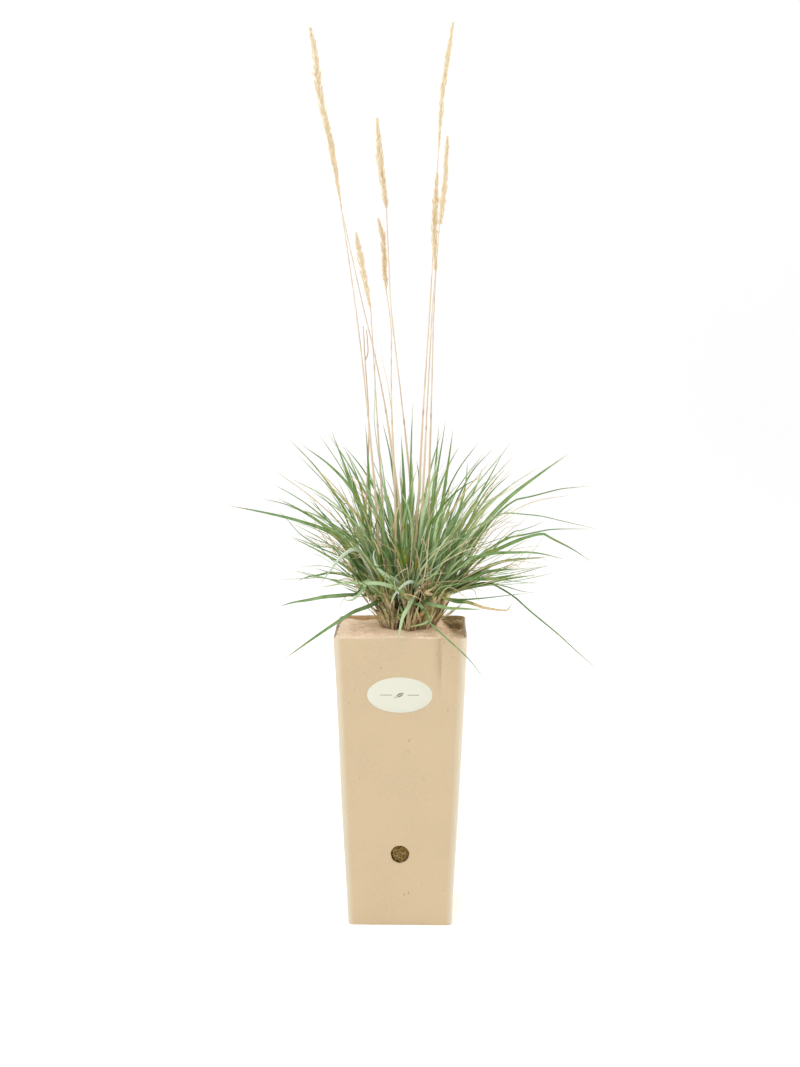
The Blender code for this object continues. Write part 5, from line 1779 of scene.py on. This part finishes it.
def stem_batch(path, radii, rng, joints):
    """A round straw stem that narrows evenly upwards.

    It is swollen and darker, by a bell curve, at the joints, and sheathed below the first.
    """
    stations = len(path)
    share = np.linspace(0.0, 1.0, stations)
    joint = np.zeros(stations)
    for at in joints:
        joint += np.exp(-((share - at) ** 2) / (2 * 0.0045**2))
    radius = radii[0] + (radii[1] - radii[0]) * share
    sheathed = smoothstep(joints[0], joints[0] - 0.05, share) if joints else 0.0 * share
    radius = radius * (1.0 + 0.28 * joint + 0.30 * sheathed)
    rings = round_rings(path[None], radius[None], 10)
    patch = smoothstep(0.25, 0.9, np.sin(share * rng.uniform(9, 16) + rng.uniform(0, 6))) * 0.55
    joint = 0.32 * np.minimum(joint, 1.0)
    return {
        "rings": rings, "fresh": patch[None, :, None], "joint": joint[None, :, None],
        "low": sheathed[None, :, None],
    }


def head_envelope(share, number):
    """Radius of a seed head along it, as a share: the head's own shape with slow and quick lobes (sines)."""
    shape = HEAD_SHAPES[number]
    size = np.interp(share, np.linspace(0.0, 1.0, len(shape)), shape)
    lobes = 0.11 * np.sin(2 * np.pi * HEAD_LOBES * share + number)
    return size * (1.0 + lobes + 0.08 * np.sin(2 * np.pi * 9.7 * share + 2.3 * number))


def seed_head_mesh(name, number, path, radius, settings, rng):
    """Spikelets up a spike: slim pointed skins and hair-thin bristles.

    Each spikelet starts near the axis, points up it and leans out by 2 to 15 degrees, a few by more. Their
    places go round by the golden angle and fall in loose clusters. A bristle leans out by 5 to 20 degrees.
    """
    length = np.linalg.norm(np.diff(path, axis=0), axis=1).sum()
    count = int(length * SPIKELETS_PER_METRE)
    share = (np.arange(count) + rng.uniform(0, 1, count)) / count
    share = np.clip(share + 0.0015 * np.sin(2 * np.pi * 13.0 * share + number), 0.0, 0.985)
    around = np.arange(count) * GOLDEN_ANGLE + rng.normal(0, 0.35, count)
    stations = np.linspace(0.0, 1.0, len(path))
    place = np.stack([np.interp(share, stations, path[:, k]) for k in range(3)], axis=1)
    slope = np.gradient(path, axis=0)
    axis = unit(np.stack([np.interp(share, stations, slope[:, k]) for k in range(3)], axis=1))
    side = unit(np.cross(axis, (0.0, 1.0, 0.0)))
    other = np.cross(axis, side)
    outward = np.cos(around)[:, None] * side + np.sin(around)[:, None] * other
    size = head_envelope(share, number)
    lean = np.radians(rng.uniform(2, 15, count) + 14.0 * (rng.uniform(size=count) < 0.05))[:, None]
    way = unit(axis * np.cos(lean) + outward * np.sin(lean))
    start = place + outward * (radius * 0.78 * size * rng.uniform(0.0, 1.0, count) ** 0.9)[:, None]
    run = settings.spikelet_length * rng.uniform(0.75, 1.15, count) * (0.45 + 0.50 * size)
    step = np.linspace(0.0, 1.0, 5)[None, :, None]
    lines = start[:, None] + way[:, None] * run[:, None, None] * step
    lines = lines + outward[:, None] * (run[:, None, None] * 0.06) * step**2
    fat = np.array([0.30, 0.90, 1.0, 0.62, 0.06])[None, :] * run[:, None]
    hulls = threads_with_uv(lines, fat * rng.uniform(0.044, 0.063, (count, 1)), 4, step)

    hairs = int(count * HAIRS_PER_SPIKELET)
    pick = rng.integers(0, count, hairs)
    spread = np.radians(rng.uniform(5, 20, hairs))[:, None]
    spin = around[pick] + rng.normal(0, 0.6, hairs)
    hair_out = np.cos(spin)[:, None] * side[pick] + np.sin(spin)[:, None] * other[pick]
    hair_way = unit(axis[pick] * np.cos(spread) + hair_out * np.sin(spread))
    hair_run = settings.spikelet_length * rng.uniform(0.7, 1.3, hairs) * (0.45 + 0.55 * size[pick])
    hair_step = np.linspace(0.0, 1.0, 3)[None, :, None]
    hair_lines = start[pick][:, None] + hair_way[:, None] * hair_run[:, None, None] * hair_step
    hair_fat = np.array([0.00008, 0.00006, 0.00002])[None, :] * np.ones((hairs, 1))
    bristles = threads_with_uv(hair_lines, hair_fat, 3, hair_step)

    core = round_rings(path[None], np.linspace(0.00042, 0.00016, len(path))[None], 6)
    # Spikelets facing left, towards the softbox, are paler: painted light on that side of each head
    tone = np.clip(rng.normal(0.60, 0.26, count) + 0.25 * np.cos(around) + HEAD_TONES[number], 0.0, 1.0)
    return skins_mesh(name, [
        {**hulls, "tone": tone[:, None, None]},
        {**bristles, "tone": rng.uniform(0.5, 1.0, hairs)[:, None, None]},
        {"rings": core, "uv": np.full(core.shape[:3] + (2,), 0.3), "tone": 0.3},
    ])


# Operators


class POTTEDGRASS_OT_pot(bpy.types.Operator):
    """Make the kraft-board pot with its drain hole"""

    bl_idname = "potted_grass.pot"
    bl_label = "Pot"

    def execute(self, context):
        settings = context.scene.grass_pot
        pot = add_piece("pot_shell", pot_mesh(settings), board_material(settings), ["pot"])
        cut_away(pot, drill_mesh())
        return {"FINISHED"}


class POTTEDGRASS_OT_label(bpy.types.Operator):
    """Make the oval label on the pot's front wall"""

    bl_idname = "potted_grass.label"
    bl_label = "Label"

    def execute(self, context):
        look = label_material(context.scene.grass_pot)
        add_piece("label_sticker", label_mesh(), look, ["label"])
        return {"FINISHED"}


class POTTEDGRASS_OT_coir(bpy.types.Operator):
    """Make the coir root ball and its loose fibres"""

    bl_idname = "potted_grass.coir"
    bl_label = "Coir"

    def execute(self, context):
        settings = context.scene.grass_coir
        add_piece("coir_ball", root_ball_mesh(), coir_material("coir", settings), ["coir_root_ball"])
        add_piece("coir_fibres", coir_fibre_mesh(settings), fibre_material("coir_fibre", settings))
        return {"FINISHED"}


class POTTEDGRASS_OT_sheaths(bpy.types.Operator):
    """Make the bundles of old papery sheaths at the clump's foot"""

    bl_idname = "potted_grass.sheaths"
    bl_label = "Old sheaths"

    def execute(self, context):
        rng = np.random.default_rng(SHEATH_SEED)
        leaves = context.scene.grass_leaves
        look = sheath_material("old_sheath", leaves, linear(255, 250, 208), linear(172, 122, 66))
        # The sheaths between the bundles are coloured near black: painted shade in the gaps between the
        # bundles
        inner = sheath_material("painted_shade_sheath", leaves, linear(72, 64, 22), linear(26, 21, 6))
        for name, bundle in BUNDLES.items():
            mesh = bundle_mesh(name, rng, *bundle)
            add_piece(f"old_sheaths_{name}", mesh, look, [f"sheath_bundle_{name}"])
        mesh = bundle_mesh("between", rng, CLUMP_CENTRE, BETWEEN_RADIUS, (0.0, 0.10), BETWEEN_RINGS, 1.7)
        add_piece("old_sheaths_between", mesh, inner)
        add_piece("frayed_threads", frayed_mesh(rng), look)
        return {"FINISHED"}


class POTTEDGRASS_OT_leaves(bpy.types.Operator):
    """Make the leaf blades of every shoot"""

    bl_idname = "potted_grass.leaves"
    bl_label = "Leaves"

    def execute(self, context):
        rng = np.random.default_rng(LEAF_SEED)
        look = leaf_material(context.scene.grass_leaves)
        all_shoots = shoots()
        for number, (shoot, blades) in enumerate(zip(all_shoots, all_blades(all_shoots)), start=1):
            name = f"leaves_{number:02d}"
            add_piece(name, leaf_mesh(name, shoot, blades, rng), look, [f"shoot_{number:02d}"])
        return {"FINISHED"}


class POTTEDGRASS_OT_strays(bpy.types.Operator):
    """Make the fine leaves and dead strands between the blades"""

    bl_idname = "potted_grass.strays"
    bl_label = "Fine leaves and dead strands"

    def execute(self, context):
        settings = context.scene.grass_leaves
        look = bpy.data.materials["leaf_blade"]
        rng = np.random.default_rng(STRAY_SEED)
        add_piece("seen_strands", seen_strands_mesh(rng), look)
        for name, count in (("fine_leaves", settings.fine_leaves), ("low_leaves", settings.low_leaves)):
            lines = stray_lines(name, count, rng, 0.005)
            tones = np.clip(rng.normal(0.38, 0.32, count), 0.0, 1.3)
            # Leaves whose tips reach right are paler: partly waxier leaves, partly painted light from the
            # right
            tones = tones + 0.40 * smoothstep(0.0, 0.05, lines[:, -1, 0])
            tipped = rng.uniform(size=count) < 0.16
            dries = np.where(tipped, rng.uniform(0.2, 0.8, count), rng.uniform(0.0, 0.08, count))
            widths = rng.uniform(0.0007, 0.0021, count)
            golds = rng.uniform(0.0, 1.0, count)
            batch = blade_batch(lines, widths, tones, dries, golds, rng, twist=1.0)
            add_piece(name, skins_mesh(name, [batch]), look)

        count = settings.dead_strands
        lines = stray_lines("dead_strands", count, rng, 0.008)
        widths = rng.uniform(0.0005, 0.0012, count)
        tones = rng.uniform(0.0, 1.0, count)
        dries, golds = np.full(count, 1.4), np.ones(count)
        batch = blade_batch(lines, widths, tones, dries, golds, rng, twist=2.5, fold=0.7)
        add_piece("dead_strands", skins_mesh("dead_strands", [batch]), look)
        return {"FINISHED"}


class POTTEDGRASS_OT_stems(bpy.types.Operator):
    """Make the flower stems and the broken dry stem"""

    bl_idname = "potted_grass.stems"
    bl_label = "Flower stems"

    def execute(self, context):
        rng = np.random.default_rng(STEM_SEED)
        look = stem_material(context.scene.grass_stems, context.scene.grass_leaves)
        for number, (bundle, aside, points, _, _) in enumerate(STEMS, start=1):
            path = smooth_path(stem_path(bundle, aside, points, STEM_POINTS), STEM_STATIONS)
            name = f"straw_stem_{number}"
            joint_height = JOINT_HEIGHT + 0.006 * math.sin(2.4 * number)
            joint = (joint_height - path[0, 2]) / (path[-1, 2] - path[0, 2])
            batch = stem_batch(path, STEM_RADII, rng, (joint,))
            add_piece(name, skins_mesh(name, [batch]), look, [f"flower_stem_{number}"])
        path = smooth_path(stem_path(DRY_BUNDLE, DRY_ASIDE, DRY_STEM, STEM_POINTS), DRY_STATIONS)
        main = stem_batch(path, DRY_RADII, rng, (0.45, 0.86))
        prong = stem_batch(smooth_path(DRY_PRONG, PRONG_STATIONS), PRONG_RADII, rng, ())
        for part, brown in ((main, 0.30), (prong, 0.45)):
            part["joint"] = np.maximum(part["joint"], brown)
            part["low"] = 0.0 * part["low"]
        add_piece("dry_twig", skins_mesh("dry_twig", [main, prong]), look, ["dry_stem"])
        return {"FINISHED"}


class POTTEDGRASS_OT_seed_heads(bpy.types.Operator):
    """Make the seed heads, spikelet by spikelet"""

    bl_idname = "potted_grass.seed_heads"
    bl_label = "Seed heads"

    def execute(self, context):
        settings = context.scene.grass_stems
        rng = np.random.default_rng(HEAD_SEED)
        look = spikelet_material(settings)
        for number, (bundle, aside, points, head_points, radius) in enumerate(STEMS, start=1):
            path = stem_path(bundle, aside, points, STEM_POINTS)
            way = unit(path[-1] - path[-2])
            axis = smooth_path([path[-1] - way * 0.001, *head_points], HEAD_STATIONS)
            name = f"spikelets_{number}"
            mesh = seed_head_mesh(name, number, axis, radius, settings, rng)
            add_piece(name, mesh, look, [f"seed_head_{number}"])
        return {"FINISHED"}


class POTTEDGRASS_OT_stage(bpy.types.Operator):
    """Make the floor that curves up into a backdrop, the lights and the camera"""

    bl_idname = "potted_grass.stage"
    bl_label = "Stage"

    def execute(self, context):
        settings = context.scene.grass_stage
        self.floor(settings)
        self.lights(context, settings)
        self.camera(context)
        context.scene.view_settings.view_transform = "Standard"
        return {"FINISHED"}

    def floor(self, settings):
        """A sheet: flat, then a quarter circle, then upright, the same all the way across."""
        bend = np.linspace(0.0, np.pi / 2, 24)
        y = np.concatenate([[-4.0, -1.0, 0.0, 1.0], 2.0 + 1.2 * np.sin(bend), [3.2]])
        z = np.concatenate([np.zeros(4), 1.2 - 1.2 * np.cos(bend), [5.0]])
        columns = 9
        x = np.repeat(np.linspace(-4.0, 4.0, columns)[:, None], len(y), 1)
        points = np.stack([x, np.tile(y, (columns, 1)), np.tile(z, (columns, 1))], axis=-1)
        across, along = np.meshgrid(np.arange(columns - 1), np.arange(len(y) - 1), indexing="ij")
        corner = across * len(y) + along
        quads = np.stack([corner, corner + len(y), corner + len(y) + 1, corner + 1], axis=-1).reshape(-1, 4)
        mesh = bpy.data.meshes.new("floor")
        fill_mesh(mesh, points.reshape(-1, 3), quads.ravel(), 4 * np.arange(len(quads)))
        mesh.shade_smooth()
        look = Shading("pale_floor", 0.9, 0.1)
        look.shader.inputs["Emission Color"].default_value = (1.0, 1.0, 1.0, 1.0)
        look.shader.inputs["Emission Strength"].default_value = settings.floor_glow
        tone = look.noise(look.place(), 3.0, 2.0)
        pale = settings.floor_colour
        look.colour(look.mix(look.ramp(tone, 0.3, 0.7), shade(pale, 0.995), pale))
        mesh.materials.append(look.material)
        floor = bpy.data.objects.new("floor", mesh)
        bpy.context.scene.collection.objects.link(floor)

    def lights(self, context, settings):
        """White light all round, and square lamps turned towards a point 0.3 m over the floor."""
        world = bpy.data.worlds.new("daylight")
        world.use_nodes = True
        sky = world.node_tree.nodes["Background"]
        sky.inputs["Color"].default_value = (1.0, 1.0, 1.0, 1.0)
        sky.inputs["Strength"].default_value = settings.daylight
        context.scene.world = world
        for name, place, size, power in (
            ("softbox", (-0.45, -0.75, 1.65), 1.1, settings.softbox),
            ("side_left", (-1.3, 0.35, 0.5), 1.0, settings.side_lamps),
            ("side_right", (1.3, 0.30, 0.5), 1.0, settings.side_lamps * 2.2),
        ):
            lamp = bpy.data.lights.new(name, "AREA")
            lamp.shape = "SQUARE"
            lamp.size = size
            lamp.energy = power
            obj = bpy.data.objects.new(name, lamp)
            obj.location = place
            way = np.array((0.0, 0.0, 0.30)) - place
            tilt = math.acos(way[2] / np.linalg.norm(way)) - math.pi
            obj.rotation_euler = (tilt, 0.0, math.atan2(way[1], way[0]) + math.pi / 2)
            context.scene.collection.objects.link(obj)

    def camera(self, context):
        """The camera of the photograph, level across and tilted down."""
        lens = bpy.data.cameras.new("camera")
        lens.sensor_fit = "VERTICAL"
        lens.sensor_height = SENSOR * 1000
        lens.lens = FOCAL_PIXELS / PHOTO_SIZE[1] * SENSOR * 1000
        lens.clip_start = 0.05
        camera = bpy.data.objects.new("camera", lens)
        azimuth = math.radians(CAMERA_AZIMUTH)
        aside = CAMERA_AIM_X + CAMERA_DISTANCE * math.sin(azimuth)
        camera.location = (aside, -CAMERA_DISTANCE * math.cos(azimuth), CAMERA_HEIGHT)
        camera.rotation_euler = (math.pi / 2 - math.radians(CAMERA_TILT), 0.0, azimuth)
        context.scene.collection.objects.link(camera)
        context.scene.camera = camera


class POTTEDGRASS_PT_panel(bpy.types.Panel):
    """Buttons and sizes for the potted grass"""

    bl_label = "Potted grass"
    bl_idname = "POTTEDGRASS_PT_panel"
    bl_space_type = "VIEW_3D"
    bl_region_type = "UI"
    bl_category = "Potted grass"

    def draw(self, context):
        for operator in OPERATORS:
            self.layout.operator(operator.bl_idname)
        for settings_name in SETTINGS:
            settings = getattr(context.scene, settings_name)
            for key in type(settings).__annotations__:
                self.layout.prop(settings, key)


OPERATORS = (
    POTTEDGRASS_OT_pot,
    POTTEDGRASS_OT_label,
    POTTEDGRASS_OT_coir,
    POTTEDGRASS_OT_sheaths,
    POTTEDGRASS_OT_leaves,
    POTTEDGRASS_OT_strays,
    POTTEDGRASS_OT_stems,
    POTTEDGRASS_OT_seed_heads,
    POTTEDGRASS_OT_stage,
)
SETTINGS = {
    "grass_pot": PotSettings,
    "grass_coir": CoirSettings,
    "grass_leaves": LeafSettings,
    "grass_stems": StemSettings,
    "grass_stage": StageSettings,
}


def register():
    """Registers the settings, the operators and the panel."""
    for settings_name, group in SETTINGS.items():
        bpy.utils.register_class(group)
        setattr(bpy.types.Scene, settings_name, PointerProperty(type=group))
    for operator in OPERATORS:
        bpy.utils.register_class(operator)
    bpy.utils.register_class(POTTEDGRASS_PT_panel)


def unregister():
    """Takes all of them out again, in the opposite order."""
    bpy.utils.unregister_class(POTTEDGRASS_PT_panel)
    for operator in reversed(OPERATORS):
        bpy.utils.unregister_class(operator)
    for settings_name, group in SETTINGS.items():
        delattr(bpy.types.Scene, settings_name)
        bpy.utils.unregister_class(group)


def main():
    """Builds every piece and the stage."""
    register()
    bpy.ops.potted_grass.pot()
    bpy.ops.potted_grass.label()
    bpy.ops.potted_grass.coir()
    bpy.ops.potted_grass.sheaths()
    bpy.ops.potted_grass.leaves()
    bpy.ops.potted_grass.strays()
    bpy.ops.potted_grass.stems()
    bpy.ops.potted_grass.seed_heads()
    bpy.ops.potted_grass.stage()
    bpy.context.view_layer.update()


if __name__ == "__main__":
    main()
